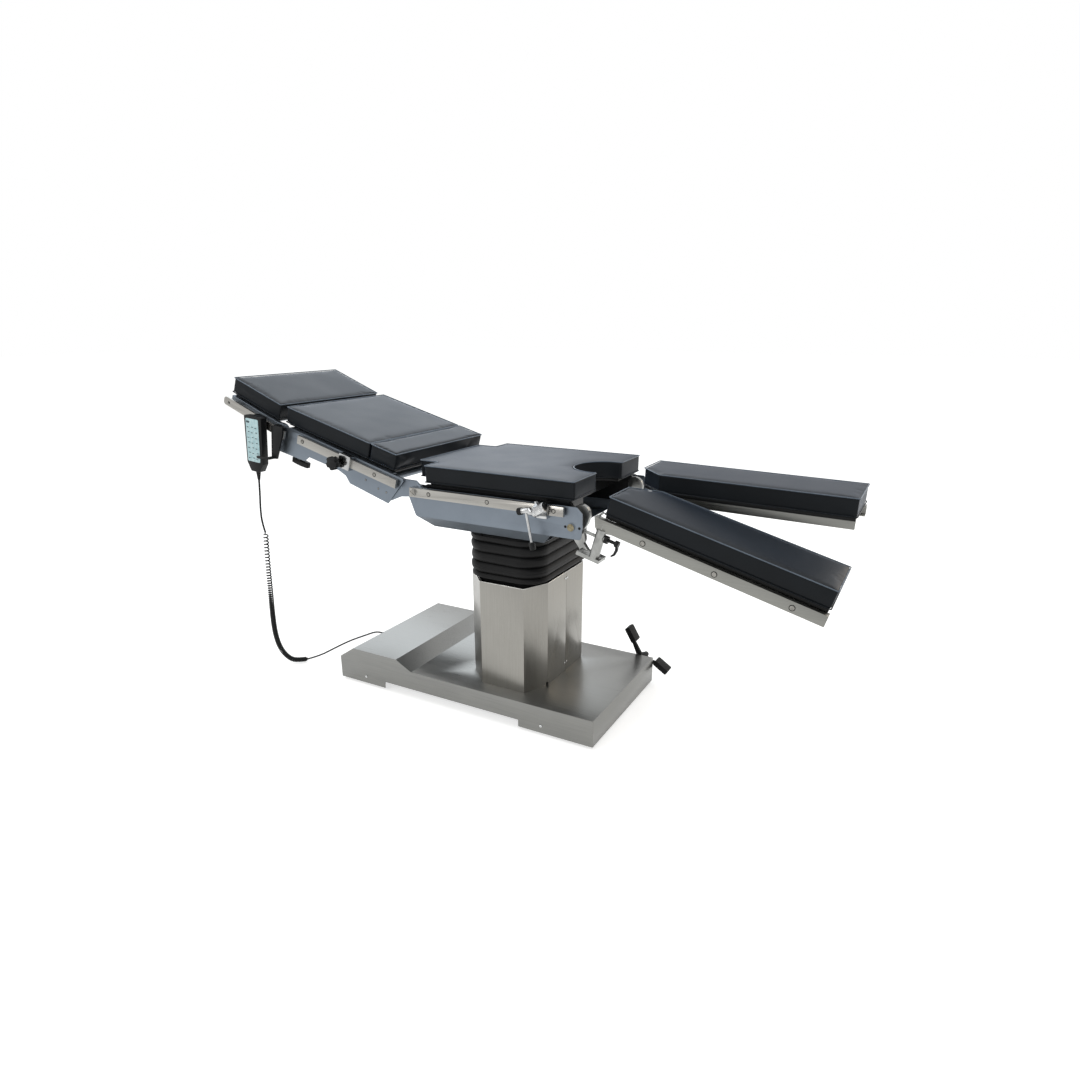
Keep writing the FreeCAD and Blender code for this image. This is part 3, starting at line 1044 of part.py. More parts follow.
cord_tube("cord_lead", lead_route, number("lead_radius"))
cord_tube("cord_coil", coil_route, number("coil_radius"))
cord_tube("cord_tail", tail_route, number("tail_radius"))

doc.recompute()
for item in doc.Objects:
    if "Invalid" in item.State or "Error" in item.State:
        raise RuntimeError("%s did not build: %s" % (item.Name, item.State))
for part in parts:
    if part.Shape.isNull() or not part.Shape.isValid():
        raise RuntimeError(part.Label + " has no valid shape")
os.makedirs("parts", exist_ok=True)
for part in parts:
    part.Shape.exportStep("parts/%s.step" % part.Label)
print(len(parts), "parts")
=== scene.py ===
import bpy
import math
from mathutils import Matrix, Vector


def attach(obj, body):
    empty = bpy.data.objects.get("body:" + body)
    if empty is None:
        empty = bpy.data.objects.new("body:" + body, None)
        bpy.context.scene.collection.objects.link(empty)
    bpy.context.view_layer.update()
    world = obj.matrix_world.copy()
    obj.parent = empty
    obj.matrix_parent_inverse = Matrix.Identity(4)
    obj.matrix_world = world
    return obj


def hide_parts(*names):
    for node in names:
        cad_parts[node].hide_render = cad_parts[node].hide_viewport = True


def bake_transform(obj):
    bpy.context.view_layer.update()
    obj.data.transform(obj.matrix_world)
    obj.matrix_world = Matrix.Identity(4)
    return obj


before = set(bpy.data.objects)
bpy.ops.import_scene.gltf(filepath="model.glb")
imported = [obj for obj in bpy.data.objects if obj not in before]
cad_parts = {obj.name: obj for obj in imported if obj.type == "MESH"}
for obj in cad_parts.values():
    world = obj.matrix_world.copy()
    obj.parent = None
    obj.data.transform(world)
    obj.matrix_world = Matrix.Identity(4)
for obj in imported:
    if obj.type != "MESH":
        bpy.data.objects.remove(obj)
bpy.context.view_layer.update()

# Base cover: one folded sheet of stainless steel, brushed along its length, with a
# hump over the power unit. Its edges are bent, not welded, so they are slightly round.
# Two button-head screws hold each long skirt to the chassis.


def pick_only(*things):
    bpy.ops.object.select_all(action="DESELECT")
    for thing in things:
        thing.select_set(True)
    bpy.context.view_layer.objects.active = things[0]


def merged_copy(name, solid):
    """A copy of a solid's mesh with its shared corners merged and its flat faces whole."""
    copy = bpy.data.objects.new(name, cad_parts[solid].data.copy())
    bpy.context.collection.objects.link(copy)
    copy.matrix_world = Matrix.Identity(4)
    pick_only(copy)
    bpy.ops.object.mode_set(mode="EDIT")
    bpy.ops.mesh.select_all(action="SELECT")
    bpy.ops.mesh.remove_doubles(threshold=0.00002)
    bpy.ops.mesh.dissolve_limited(angle_limit=math.radians(0.6))
    bpy.ops.object.mode_set(mode="OBJECT")
    return copy


def apply_all(piece):
    pick_only(piece)
    for modifier in list(piece.modifiers):
        bpy.ops.object.modifier_apply(modifier=modifier.name)


def smooth_by_angle(piece, degrees=38):
    pick_only(piece)
    bpy.ops.object.shade_smooth_by_angle(angle=math.radians(degrees))


def bevel_edges(piece, width, steps, folds=30):
    """A bevel on the edges that turn by more than this many degrees, not yet applied."""
    bevel = piece.modifiers.new("bevel", "BEVEL")
    bevel.width = width
    bevel.segments = steps
    bevel.limit_method = "ANGLE"
    bevel.angle_limit = math.radians(folds)
    return bevel


def eased(name, solid, body, ease, steps=2):
    """The solid with its edges eased, as filed, bent or moulded edges are, its flats flat."""
    piece = merged_copy(name, solid)
    pick_only(piece)
    bpy.ops.object.shade_smooth()
    bevel = bevel_edges(piece, ease, steps, folds=24)
    bevel.use_clamp_overlap = True
    bevel.harden_normals = True
    apply_all(piece)
    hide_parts(solid)
    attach(piece, body)
    return piece


def linear(shade):
    """An sRGB hex value as Blender's linear colour."""
    levels = [int(shade[i:i + 2], 16) / 255 for i in (0, 2, 4)]
    return [level / 12.92 if level <= 0.04045 else ((level + 0.055) / 1.055) ** 2.4
            for level in levels] + [1.0]


def add(tree, kind, sockets=None, **settings):
    """One node with its settings, and a value or a link for each socket named."""
    node = tree.nodes.new("ShaderNode" + kind)
    for name, value in settings.items():
        setattr(node, name, value)
    for name, value in (sockets or {}).items():
        if isinstance(value, bpy.types.NodeSocket):
            tree.links.new(value, node.inputs[name])
        else:
            node.inputs[name].default_value = value
    return node


def new_material(name):
    material = bpy.data.materials.new(name)
    material.use_nodes = True
    tree = material.node_tree
    return material, tree, tree.nodes["Principled BSDF"]


def object_spot(tree):
    return add(tree, "TexCoord").outputs["Object"]


def noise(tree, spot, scale, detail, roughness=0.5):
    """Soft random shades around one half."""
    return add(tree, "TexNoise", {"Vector": spot, "Scale": scale, "Detail": detail,
                                  "Roughness": roughness}).outputs["Fac"]


def vary_tone(tree, shader, factor, dark, light, start=0.3, stop=0.7):
    """The shader's colour goes from dark to light as the factor goes from start to stop."""
    ramp = add(tree, "ValToRGB", {"Fac": factor})
    for mark, place, shade in zip(ramp.color_ramp.elements, (start, stop), (dark, light)):
        mark.position = place
        mark.color = linear(shade)
    tree.links.new(ramp.outputs["Color"], shader.inputs["Base Color"])


def vary_gloss(tree, shader, factor, low, high, start=0.0, stop=1.0):
    """The shader's roughness goes from low to high as the factor goes from start to stop."""
    gloss = add(tree, "MapRange", {"Value": factor, "From Min": start, "From Max": stop,
                                   "To Min": low, "To Max": high})
    tree.links.new(gloss.outputs["Result"], shader.inputs["Roughness"])


def emboss(tree, shader, height, strength, distance):
    relief = add(tree, "Bump", {"Height": height, "Strength": strength, "Distance": distance})
    tree.links.new(relief.outputs["Normal"], shader.inputs["Normal"])


def brushed_sheet(name, light, dark, along, rough=(0.26, 0.42)):
    """Brushed stainless sheet: fine scratches one way, faint wiping marks over them."""
    material, tree, steel = new_material(name)
    spot = object_spot(tree)
    # Scratches are about 0.4 mm apart and 120 mm long; drawn at 1.6 mm so they show.
    stretch = [8 if axis == along else 620 for axis in "XYZ"]
    grain_spot = add(tree, "Mapping", {"Vector": spot, "Scale": stretch}).outputs["Vector"]
    grain = noise(tree, grain_spot, 1.0, 4.0, roughness=0.6)
    wipe = noise(tree, spot, 5.0, 3.0)
    worn = add(tree, "Mix", {"Factor": 0.35, "A": grain, "B": wipe}, data_type="FLOAT")
    vary_tone(tree, steel, worn.outputs["Result"], dark, light, 0.36, 0.64)
    vary_gloss(tree, steel, worn.outputs["Result"], *rough, 0.35, 0.65)
    emboss(tree, steel, grain, 0.05, 0.0003)
    steel.inputs["Metallic"].default_value = 1.0
    return material


def coat(piece, material):
    piece.data.materials.clear()
    piece.data.materials.append(material)
    return piece


def fit(piece, material, body):
    """A detail that stands for no solid gets its material, and rides a body."""
    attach(coat(piece, material), body)


base_steel = brushed_sheet("stainless_brushed_lengthwise", "898986", "7C7C7A", "X")
coat(eased("base_cover_sheet", "base_cover", "base", 0.0018), base_steel)


def chrome_plate(name, shade, rough=(0.06, 0.16), light="DADCDC"):
    """Nickel-chrome plating: a clear mirror with a faint haze of handling."""
    material, tree, metal = new_material(name)
    haze = noise(tree, object_spot(tree), 60.0, 4.0)
    vary_tone(tree, metal, haze, shade, light)
    vary_gloss(tree, metal, haze, *rough, 0.3, 0.7)
    metal.inputs["Metallic"].default_value = 1.0
    return material


bright_screw = chrome_plate("screw_nickel_plated", "B9BABA")


def disc(name, radius, height, sides):
    """A plain disc facing along -Y, its back at the origin."""
    bpy.ops.object.select_all(action="DESELECT")
    bpy.ops.mesh.primitive_cylinder_add(vertices=sides, radius=radius, depth=height,
                                        rotation=(math.pi / 2, 0, 0), location=(0, -height / 2, 0))
    made = bpy.context.object
    made.name = name
    bpy.ops.object.transform_apply(location=True, rotation=True, scale=True)
    return made


def cut_away(piece, tool):
    """Cuts the tool's shape out of the piece and removes the tool."""
    cut = piece.modifiers.new("cut", "BOOLEAN")
    cut.object = tool
    cut.solver = "EXACT"
    apply_all(piece)
    bpy.data.objects.remove(tool)


def round_head(name, radius, height, recess):
    """A domed screw head with a six-sided socket, facing along -Y, its seat at the origin."""
    head = disc(name, radius, height, 36)
    bevel_edges(head, min(height, radius) * 0.42, 3)
    apply_all(head)
    bpy.ops.mesh.primitive_cylinder_add(vertices=6, radius=recess, depth=height * 1.3,
                                        rotation=(math.pi / 2, 0, 0),
                                        location=(0, -height - height * 0.1, 0))
    cut_away(head, bpy.context.object)
    smooth_by_angle(head, 30)
    return head


def copies_at(name, model, spots, turn=Matrix.Identity(4)):
    """One mesh made of copies of a model, each turned and moved to its own spot."""
    made = []
    for spot in spots:
        copy = bpy.data.objects.new(name, model.data.copy())
        bpy.context.collection.objects.link(copy)
        copy.data.transform(Matrix.Translation(Vector(spot)) @ turn)
        made.append(copy)
    pick_only(*made)
    if len(made) > 1:
        bpy.ops.object.join()
    joined = bpy.context.object
    joined.name = name
    return joined


flat = Matrix.Identity(4)
to_far = Matrix.Rotation(math.pi, 4, "Z")
both_sides = (("near", flat, -1), ("far", to_far, 1))
skirt_screw = round_head("skirt_screw", 0.0048, 0.0026, 0.0022)
skirt_y, skirt_screw_z = 0.2685, 0.036
for label, turn, sign in both_sides:
    screws = copies_at("skirt_screws_" + label, skirt_screw,
                       [(x, sign * skirt_y, skirt_screw_z) for x in (-0.406, 0.341)], turn)
    fit(screws, bright_screw, "base")
bpy.data.objects.remove(skirt_screw)

# Chassis, feet and power unit: a zinc-plated steel plate under the cover, four rubber-
# soled feet screwed into it, and a hammer-painted oil tank with its pump motor. The
# casters' lowering frame and the column's guide are plated alike.


def zinc_plate(name, light, dark):
    """Zinc-plated steel: a dull grey with the faint crystals of the plating bath."""
    material, tree, steel = new_material(name)
    spot = object_spot(tree)
    # Crystals are about 4 mm across.
    crystal = add(tree, "TexVoronoi", {"Vector": spot, "Scale": 240.0}).outputs["Distance"]
    cloud = noise(tree, spot, 18.0, 3.0)
    both = add(tree, "Mix", {"Factor": 0.6, "A": crystal, "B": cloud}, data_type="FLOAT")
    vary_tone(tree, steel, both.outputs["Result"], dark, light)
    vary_gloss(tree, steel, cloud, 0.38, 0.58)
    steel.inputs["Metallic"].default_value = 0.9
    return material


def coat_solid(solid, material):
    """The solid keeps its own shape and takes this material."""
    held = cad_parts[solid]
    held.data.materials.clear()
    held.data.materials.append(material)


zinc = zinc_plate("steel_zinc_plated", "8F9193", "77797C")
for solid in "base_chassis", "caster_frame", "column_guide":
    coat_solid(solid, zinc)


def moulded_rubber(name, dark, dusty):
    """Moulded rubber: near black, matt, with the fine grit of its mould."""
    material, tree, rubber = new_material(name)
    spot = object_spot(tree)
    dust = noise(tree, spot, 22.0, 4.0)
    vary_tone(tree, rubber, dust, dark, dusty, 0.35, 0.95)
    vary_gloss(tree, rubber, dust, 0.54, 0.72)
    emboss(tree, rubber, noise(tree, spot, 900.0, 2.0), 0.25, 0.0002)
    rubber.inputs["Specular IOR Level"].default_value = 0.2
    return material


sole_rubber = moulded_rubber("rubber_moulded_soles", "161718", "1D1E1F")
for solid in "base_feet", "cord_gland":
    coat_solid(solid, sole_rubber)
for count in range(1, 5):
    coat_solid("caster_wheel_%d" % count, sole_rubber)


def hammer_paint(name, light, dark):
    """Hammer-finish enamel: a glossy coat, grey or black, that runs into shallow dimples."""
    material, tree, enamel = new_material(name)
    dimples = add(tree, "TexVoronoi", {"Vector": object_spot(tree), "Scale": 320.0},
                  feature="SMOOTH_F1").outputs["Distance"]
    vary_tone(tree, enamel, dimples, dark, light, 0.1, 0.6)
    emboss(tree, enamel, dimples, 0.4, 0.0004)
    enamel.inputs["Roughness"].default_value = 0.28
    enamel.inputs["Metallic"].default_value = 0.35
    return material


tank_enamel = hammer_paint("enamel_hammer_finish", "5D6265", "44484B")
for solid in "power_unit", "lift_cylinder":
    coat_solid(solid, tank_enamel)

# Casters: forks pressed from zinc-plated steel that swivel in the lowering frame,
# each with a moulded rubber wheel on a plain axle.
for count in range(1, 5):
    coat_solid("caster_fork_%d" % count, zinc)

# Column covers: two folded half shells of brushed stainless, the grain upright, with
# small buttons that close the seam between them.
column_steel = brushed_sheet("stainless_brushed_upright", "979590", "8C8A85", "Z")
for label in "near", "far":
    coat(eased("column_shell_" + label, "column_cover_" + label, "base", 0.0014), column_steel)
seam_button = round_head("seam_button", 0.0042, 0.0018, 0.0016)
buttons = copies_at("column_seam_buttons", seam_button,
                    [(0.2862, y, z) for y in (0.011, 0.025) for z in (0.135, 0.458)],
                    Matrix.Rotation(math.pi / 2, 4, "Z"))
fit(buttons, bright_screw, "base")
bpy.data.objects.remove(seam_button)

# Lifting column: a ground square tube with the yoke on its head plate, the polished
# ram inside it, and the cast cross and hanger of the two-way tilt joint.
polished_rod = chrome_plate("chrome_hard_plated_rod", "C4C6C8", (0.05, 0.12))
coat_solid("lift_ram", polished_rod)
coat_solid("inner_column", zinc)


def cast_metal(name, light, dark):
    """Die-cast aluminium, bead blasted and lacquered: pale, with a soft even glitter."""
    material, tree, alloy = new_material(name)
    spot = object_spot(tree)
    flow = noise(tree, spot, 30.0, 5.0)
    vary_tone(tree, alloy, flow, dark, light)
    vary_gloss(tree, alloy, flow, 0.2, 0.42)
    # Beads leave dents of about 0.2 mm; drawn at 1 mm so that they show.
    emboss(tree, alloy, noise(tree, spot, 950.0, 2.0), 0.12, 0.0002)
    alloy.inputs["Metallic"].default_value = 1.0
    return material


cast_alloy = cast_metal("aluminium_die_cast", "A6A7A5", "858684")
coat_solid("tilt_cross", cast_alloy)
coat_solid("tilt_hanger", zinc)

# Bellows: a concertina of rubberised fabric in four folds. It is clamped in the
# column cover below and to the seat's trough above, and each fold bulges over a
# creased valley. It is made in three stacked lengths.
bellows_centre = 0.156
half_x, half_y, corner_radius, corner_points = 0.140, 0.212, 0.078, 24
rim_low, fold_low, fold_high, cuff_top, fold_count = 0.484, 0.4985, 0.6395, 0.655, 4
fold_depth, foot_depth, bulge_at, sharpness = 0.0115, 2.9, 0.42, 3.2
row_height, wall_thick = 0.0016, 0.0025


def bellows_ring():
    """One level outline of the concertina, a rounded rectangle of evenly turned points."""
    ring = []
    for side, (sx, sy) in enumerate(((1, 1), (-1, 1), (-1, -1), (1, -1))):
        centre = Vector((bellows_centre + sx * (half_x - corner_radius),
                         sy * (half_y - corner_radius)))
        for i in range(corner_points):
            turn = math.radians(90 * (side + i / (corner_points - 1)))
            ring.append(centre + corner_radius * Vector((math.cos(turn), math.sin(turn))))
    return ring


def bellows_depth_at(height):
    """How far the wall is drawn in at a height, from 0 on a bulge to 1 in a valley.

    Its foot is drawn in much further, to go down inside the rim of the covers.
    """
    if height < fold_low:
        return foot_depth * min(1.0, (fold_low - height) / (fold_low - rim_low))
    if height > fold_high:
        return 1.0
    through = (height - fold_low) / (fold_high - fold_low) * fold_count % 1.0
    return abs(2 * ((through - bulge_at) % 1.0) - 1) ** sharpness if through > 0.0 else 1.0


def bellows_length(name, low, high):
    """One length of the concertina, drawn up from a ring row by row, with a real wall."""
    bpy.ops.object.select_all(action="DESELECT")
    bpy.ops.mesh.primitive_circle_add(vertices=4 * corner_points, radius=half_x)
    tube = bpy.context.object
    tube.name = name
    for point, spot in zip(tube.data.vertices, bellows_ring()):
        point.co = (spot.x, spot.y, low)
    bpy.ops.object.mode_set(mode="EDIT")
    bpy.ops.mesh.select_all(action="SELECT")
    rows = round((high - low) / row_height)
    for _ in range(rows):
        bpy.ops.mesh.extrude_region_move(
            TRANSFORM_OT_translate={"value": (0, 0, (high - low) / rows)})
    bpy.ops.object.mode_set(mode="OBJECT")
    for point in tube.data.vertices:
        inward = Vector((bellows_centre - point.co.x, -point.co.y, 0)).normalized()
        # The fabric sags unevenly by up to 1.5 mm.
        sag = 0.0015 * math.sin(point.co.x * 31 + point.co.z * 77) * math.sin(point.co.y * 23)
        point.co += inward * (fold_depth * bellows_depth_at(point.co.z) + sag)
    wall = tube.modifiers.new("wall", "SOLIDIFY")
    wall.thickness = wall_thick
    wall.offset = -1
    apply_all(tube)
    pick_only(tube)
    bpy.ops.object.mode_set(mode="EDIT")
    bpy.ops.mesh.select_all(action="SELECT")
    bpy.ops.mesh.normals_make_consistent(inside=False)
    bpy.ops.object.mode_set(mode="OBJECT")
    bpy.ops.object.shade_smooth()
    return tube


def coated_fabric(name, dark, worn):
    """Neoprene-coated fabric: black and matt, with the weave just showing through."""
    material, tree, fabric = new_material(name)
    spot = object_spot(tree)
    wear = noise(tree, spot, 14.0, 5.0)
    vary_tone(tree, fabric, wear, dark, worn, 0.4, 0.8)
    vary_gloss(tree, fabric, wear, 0.42, 0.62)
    # The weave is 1 mm; drawn at 2 mm so that it shows.
    weave = add(tree, "TexVoronoi", {"Vector": spot, "Scale": 520.0}).outputs["Distance"]
    emboss(tree, fabric, weave, 0.15, 0.0003)
    fabric.inputs["Specular IOR Level"].default_value = 0.2
    return material


bellows_fabric = coated_fabric("neoprene_coated_fabric", "070708", "121213")
bellows_cuts = [0.462, 0.531, 0.583, cuff_top]
bellows_bodies = [("base", "lift"), ("lift", "cross"), ("cross", "seat")]
for count, (lower, upper) in enumerate(bellows_bodies, 1):
    low, high = bellows_cuts[count - 1:count + 1]
    length = coat(bellows_length("bellows_folds_%d" % count, low, high), bellows_fabric)
    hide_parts("bellows")
    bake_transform(length)

# Control cord: a thin lead from the gland to the floor, a curly stretch that climbs
# to the handset, and a plain tail. The jacket is polyurethane, black and slightly glossy.


def cord_line(route):
    """Points along the smooth line that a flexible cord takes past its route's points."""
    line = bpy.data.curves.new("cord_line", "CURVE")
    line.dimensions = "3D"
    line.resolution_u = 24
    spline = line.splines.new("NURBS")
    spline.points.add(len(route) - 1)
    for point, spot in zip(spline.points, route):
        point.co = (*spot, 1)
    spline.order_u = 3
    spline.use_endpoint_u = True
    holder = bpy.data.objects.new("cord_line", line)
    bpy.context.collection.objects.link(holder)
    bpy.context.view_layer.update()
    drawn = bpy.data.meshes.new_from_object(holder)
    spots = [point.co.copy() for point in drawn.vertices]
    bpy.data.objects.remove(holder)
    return spots


def round_tube(name, spots, radius, closed=False, around=2):
    """A tube of round section along a line of spots, made a mesh."""
    line = bpy.data.curves.new(name, "CURVE")
    line.dimensions = "3D"
    line.bevel_depth = radius
    line.bevel_resolution = around
    line.use_fill_caps = not closed
    spline = line.splines.new("POLY")
    spline.points.add(len(spots) - 1)
    for point, spot in zip(spline.points, spots):
        point.co = (*spot, 1)
    spline.use_cyclic_u = closed
    drawn = bpy.data.objects.new(name + "_line", line)
    bpy.context.collection.objects.link(drawn)
    bpy.context.view_layer.update()
    tube = bpy.data.objects.new(name, bpy.data.meshes.new_from_object(drawn))
    bpy.context.collection.objects.link(tube)
    bpy.data.objects.remove(drawn)
    pick_only(tube)
    bpy.ops.object.shade_smooth()
    return tube


# A thin bright tube along the folded rim of the column covers, paler than their steel, is a
# painted highlight on the rim's edge.
rim_outline = [(-0.0125, -0.118), (0.076, -0.2083), (0.244, -0.2083), (0.2855, -0.118),
               (0.2855, 0.152), (0.244, 0.2083), (0.076, 0.2083), (-0.0125, 0.152)]
rim_z, rim_radius = 0.4798, 0.0012
rim_painted_highlight = chrome_plate("stainless_rim_painted_highlight", "C4C3BF", (0.15, 0.25), "DDDCD8")
fit(round_tube("column_rim_highlight", [(x, y, rim_z) for x, y in rim_outline], rim_radius, closed=True),
    rim_painted_highlight, "base")


def cord_jacket(name, dark, dusty):
    """Extruded polyurethane: black, smooth, with a soft shine and a little floor dust."""
    material, tree, jacket = new_material(name)
    dust = noise(tree, object_spot(tree), 40.0, 4.0)
    vary_tone(tree, jacket, dust, dark, dusty, 0.45, 0.9)
    vary_gloss(tree, jacket, dust, 0.3, 0.5)
    jacket.inputs["Specular IOR Level"].default_value = 0.25
    return material


jacket_black = cord_jacket("polyurethane_extruded", "101112", "18191B")
lead_line = cord_line([
    (-0.557, 0.0048, 0.0783), (-0.578, 0.000, 0.084), (-0.606, -0.042, 0.076),
    (-0.652, -0.086, 0.059), (-0.691, -0.138, 0.037), (-0.722, -0.190, 0.018),
    (-0.7497, -0.2256, 0.0131)])
lead = coat(round_tube("control_lead", lead_line, 0.003, around=4), jacket_black)
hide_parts("cord_lead")
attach(lead, "base")

coil_line = cord_line([
    (-0.750, -0.226, 0.013), (-0.778, -0.258, 0.013), (-0.808, -0.272, 0.022),
    (-0.838, -0.284, 0.062), (-0.850, -0.290, 0.130), (-0.848, -0.292, 0.215),
    (-0.838, -0.296, 0.320), (-0.830, -0.299, 0.430), (-0.818, -0.302, 0.548)])
turn_radius, strand, points_per_turn = 0.0078, 0.0026, 14
tight_pitch, loose_pitch, tight_below, loose_above = 0.0054, 0.0134, 0.19, 0.44
start_ease, end_ease = 0.010, 0.006


def curled(centres):
    """The helix of a curly cord round its centreline, and the height of each point.

    Its turns lie close together near the floor and hang open under the handset.
    """
    lengths = [0.0]
    for a, b in zip(centres, centres[1:]):
        lengths.append(lengths[-1] + (b - a).length)
    total = lengths[-1]
    side = Vector((0.6, 0.8, 0.0))
    helix, at, reach, step = [], 0, 0.0, 0
    while reach < total:
        while at < len(centres) - 2 and lengths[at + 1] < reach:
            at += 1
        heading = (centres[at + 1] - centres[at]).normalized()
        centre = centres[at] + heading * (reach - lengths[at])
        side = (side - heading * side.dot(heading)).normalized()
        across = heading.cross(side)
        turn = 2 * math.pi * step / points_per_turn
        ease = min(1.0, reach / start_ease, (total - reach) / end_ease)
        helix.append((centre + turn_radius * ease * (side * math.cos(turn)
                                                     + across * math.sin(turn)), centre.z))
        opened = min(1.0, max(0.0, (centre.z - tight_below) / (loose_above - tight_below)))
        reach += (tight_pitch + (loose_pitch - tight_pitch) * opened) / points_per_turn
        step += 1
    return helix


helix = curled(coil_line)
# The coil is cut into lengths at these heights.
coil_joints = [("base", "lift", 0.062, 0.150), ("lift", "cross", 0.150, 0.270),
               ("cross", "seat", 0.270, 0.350), ("seat", "back", 0.350, 0.490),
               ("back", "head", 0.490, 0.548)]
begin = 0
for count, (lower, upper, low, high) in enumerate(coil_joints, 1):
    end = begin
    while end < len(helix) - 1 and (helix[end][1] < high or end < begin + points_per_turn):
        end += 1
    if count == len(coil_joints):
        end = len(helix) - 1
    spots = [spot for spot, height in helix[begin:end + 1]]
    coil = coat(round_tube("curly_cord_%d" % count, spots, strand), jacket_black)
    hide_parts("cord_coil")
    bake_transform(coil)
    begin = end

tail_line = cord_line([
    (-0.8183, -0.302, 0.5493), (-0.829, -0.303, 0.590), (-0.826, -0.305, 0.640),
    (-0.8171, -0.306, 0.7003), (-0.8126, -0.306, 0.7517)])
tail = coat(round_tube("control_tail", tail_line, 0.0036, around=4), jacket_black)
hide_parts("cord_tail")
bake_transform(tail)

# Seat section: a folded trough of satin steel on the hanger, with two machined cheek
# beams inside that carry the hinges, and a moulded board on top for the cushion.


def satin_plate(name, light, dark):
    """Blasted and satin-lacquered steel sheet: blue-grey, with a soft cloudy shine."""
    material, tree, plate = new_material(name)
    spot = object_spot(tree)
    cloud = noise(tree, spot, 7.0, 5.0, roughness=0.55)
    vary_tone(tree, plate, cloud, dark, light, 0.32, 0.68)
    vary_gloss(tree, plate, cloud, 0.36, 0.5, 0.3, 0.7)
    # Blasting grit is 0.2 mm; drawn at 0.8 mm so that it shows.
    emboss(tree, plate, noise(tree, spot, 1200.0, 1.0), 0.08, 0.0002)
    plate.inputs["Metallic"].default_value = 1.0
    return material


plate_satin = satin_plate("steel_satin_lacquered", "7C848D", "6F7780")
coat(eased("seat_trough_sheet", "seat_trough", "seat", 0.0009), plate_satin)
coat_solid("seat_frame", hammer_paint("enamel_black_frame", "1B1C1E", "101113"))
coat_solid("hinge_pins", polished_rod)


def moulded_plastic(name, shade, rough):
    """Moulded plastic: black, with the fine spark-eroded grain of its mould."""
    material, tree, plastic = new_material(name)
    spot = object_spot(tree)
    rubbed = noise(tree, spot, 28.0, 4.0)
    vary_tone(tree, plastic, rubbed, shade, "18191A", 0.4, 0.9)
    vary_gloss(tree, plastic, rubbed, rough - 0.08, rough + 0.08)
    emboss(tree, plastic, noise(tree, spot, 1400.0, 2.0), 0.15, 0.0002)
    plastic.inputs["Specular IOR Level"].default_value = 0.2
    return material


board_black = moulded_plastic("abs_moulded_board", "0D0E0F", 0.42)
coat(eased("seat_board", "seat_panel", "seat", 0.0025), board_black)

# Accessory rails: flat bars of stainless steel on round spacers, each held by a
# socket screw through its spacer. Their faces are ground along their length.


def dark_ring(name, radius):
    """A thin dark disc facing along -Y: painted shade for the gap round a screw in its recess, or
    for a hole.
    """
    return disc(name, radius, 0.0004, 40)


def set_screws(name, body, head, ring, spots, turn, place=None):
    """Screws in their recesses at each spot, each with a dark disc of painted shade behind it for
    the recess gap, riding a body.
    """
    for kind, model, material in (("", head, screw_steel), ("_recess_shades", ring, recess_painted_shade)):
        made = copies_at(name + kind, model, spots, turn)
        if place:
            made.data.transform(place)
        fit(made, material, body)


# Ground stainless bar: warm pale grey, lightly scored along its length.
rail_steel = brushed_sheet("stainless_ground_bar", "A5A39E", "979591", "X", rough=(0.24, 0.38))
coat(eased("seat_side_rails", "seat_rails", "seat", 0.0012), rail_steel)
screw_steel = chrome_plate("screw_stainless", "7B7975", (0.2, 0.35), "9C9A95")
# Near-black discs behind screw heads and in holes and sockets are painted shade for the gaps and
# recesses there.
recess_painted_shade = moulded_plastic("painted_shade_in_recess", "0B0B0B", 0.5)
rail_y, seat_rail_z = 0.285, 0.775
rail_screw = round_head("rail_screw", 0.0052, 0.0012, 0.0028)
rail_recess_shade = dark_ring("rail_recess_shade", 0.0072)
for label, turn, sign in both_sides:
    set_screws("seat_rail_screws_" + label, "seat", rail_screw, rail_recess_shade,
               [(x, sign * rail_y, seat_rail_z) for x in (-0.061, 0.161, 0.392)], turn)

# Hinge pin ends: a slotted boss for the back hinge on each side, and a brass-coloured
# washer between two small holes for the leg hinge, turned on a lathe.


def yellow_zinc(name, dark, light):
    """Yellow-passivated steel: a dull brassy skin with cloudy stains."""
    material, tree, washer = new_material(name)
    vary_tone(tree, washer, noise(tree, object_spot(tree), 120.0, 3.0), dark, light)
    washer.inputs["Metallic"].default_value = 1.0
    washer.inputs["Roughness"].default_value = 0.33
    return material


brassy = yellow_zinc("steel_yellow_passivated", "726A54", "938B75")


def slotted_head(name, radius, height, slot_wide, slot_deep):
    """A turned pin end with a straight slot across it, facing along -Y."""
    head = disc(name, radius, height, 48)
    bevel_edges(head, height * 0.3, 2)
    apply_all(head)
    bpy.ops.mesh.primitive_cube_add(size=1, location=(0, -height, 0), rotation=(0, 0.6, 0),
                                    scale=(radius * 3, slot_deep * 2, slot_wide))
    cut_away(head, bpy.context.object)
    smooth_by_angle(head, 30)
    return head


pin_end = slotted_head("pin_end", 0.0104, 0.0022, 0.004, 0.0016)
washer_end = slotted_head("washer_end", 0.0112, 0.002, 0.0018, 0.0008)
# Each small hole beside a leg washer holds a near-black disc, painted shade for the inside of the
# hole.
pin_hole_shade = dark_ring("pin_hole_shade", 0.0042)
back_hinge_x, back_hinge_z, leg_hinge_x, leg_hinge_z, cheek_y = -0.123, 0.776, 0.442, 0.728, 0.268
for label, turn, sign in both_sides:
    for name, model, xs, y, z, material in (
            ("back_pin_ends_", pin_end, [back_hinge_x], 0.288, back_hinge_z, screw_steel),
            ("leg_pin_washers_", washer_end, [leg_hinge_x], 0.271, leg_hinge_z, brassy),
            ("leg_pin_hole_shades_", pin_hole_shade, (0.423, 0.469), cheek_y, leg_hinge_z, recess_painted_shade)):
        made = copies_at(name + label, model, [(x, sign * y, z) for x in xs], turn)
        fit(made, material, "seat")
for model in pin_hole_shade, pin_end, washer_end:
    bpy.data.objects.remove(model)

# Cushions: polyurethane foam blocks in welded covers of black leatherette. Each edge
# has a narrow weld bead, and the foam fills the cover tightly, so the faces swell
# slightly and the corners stay crisp. They lie flat on their boards.


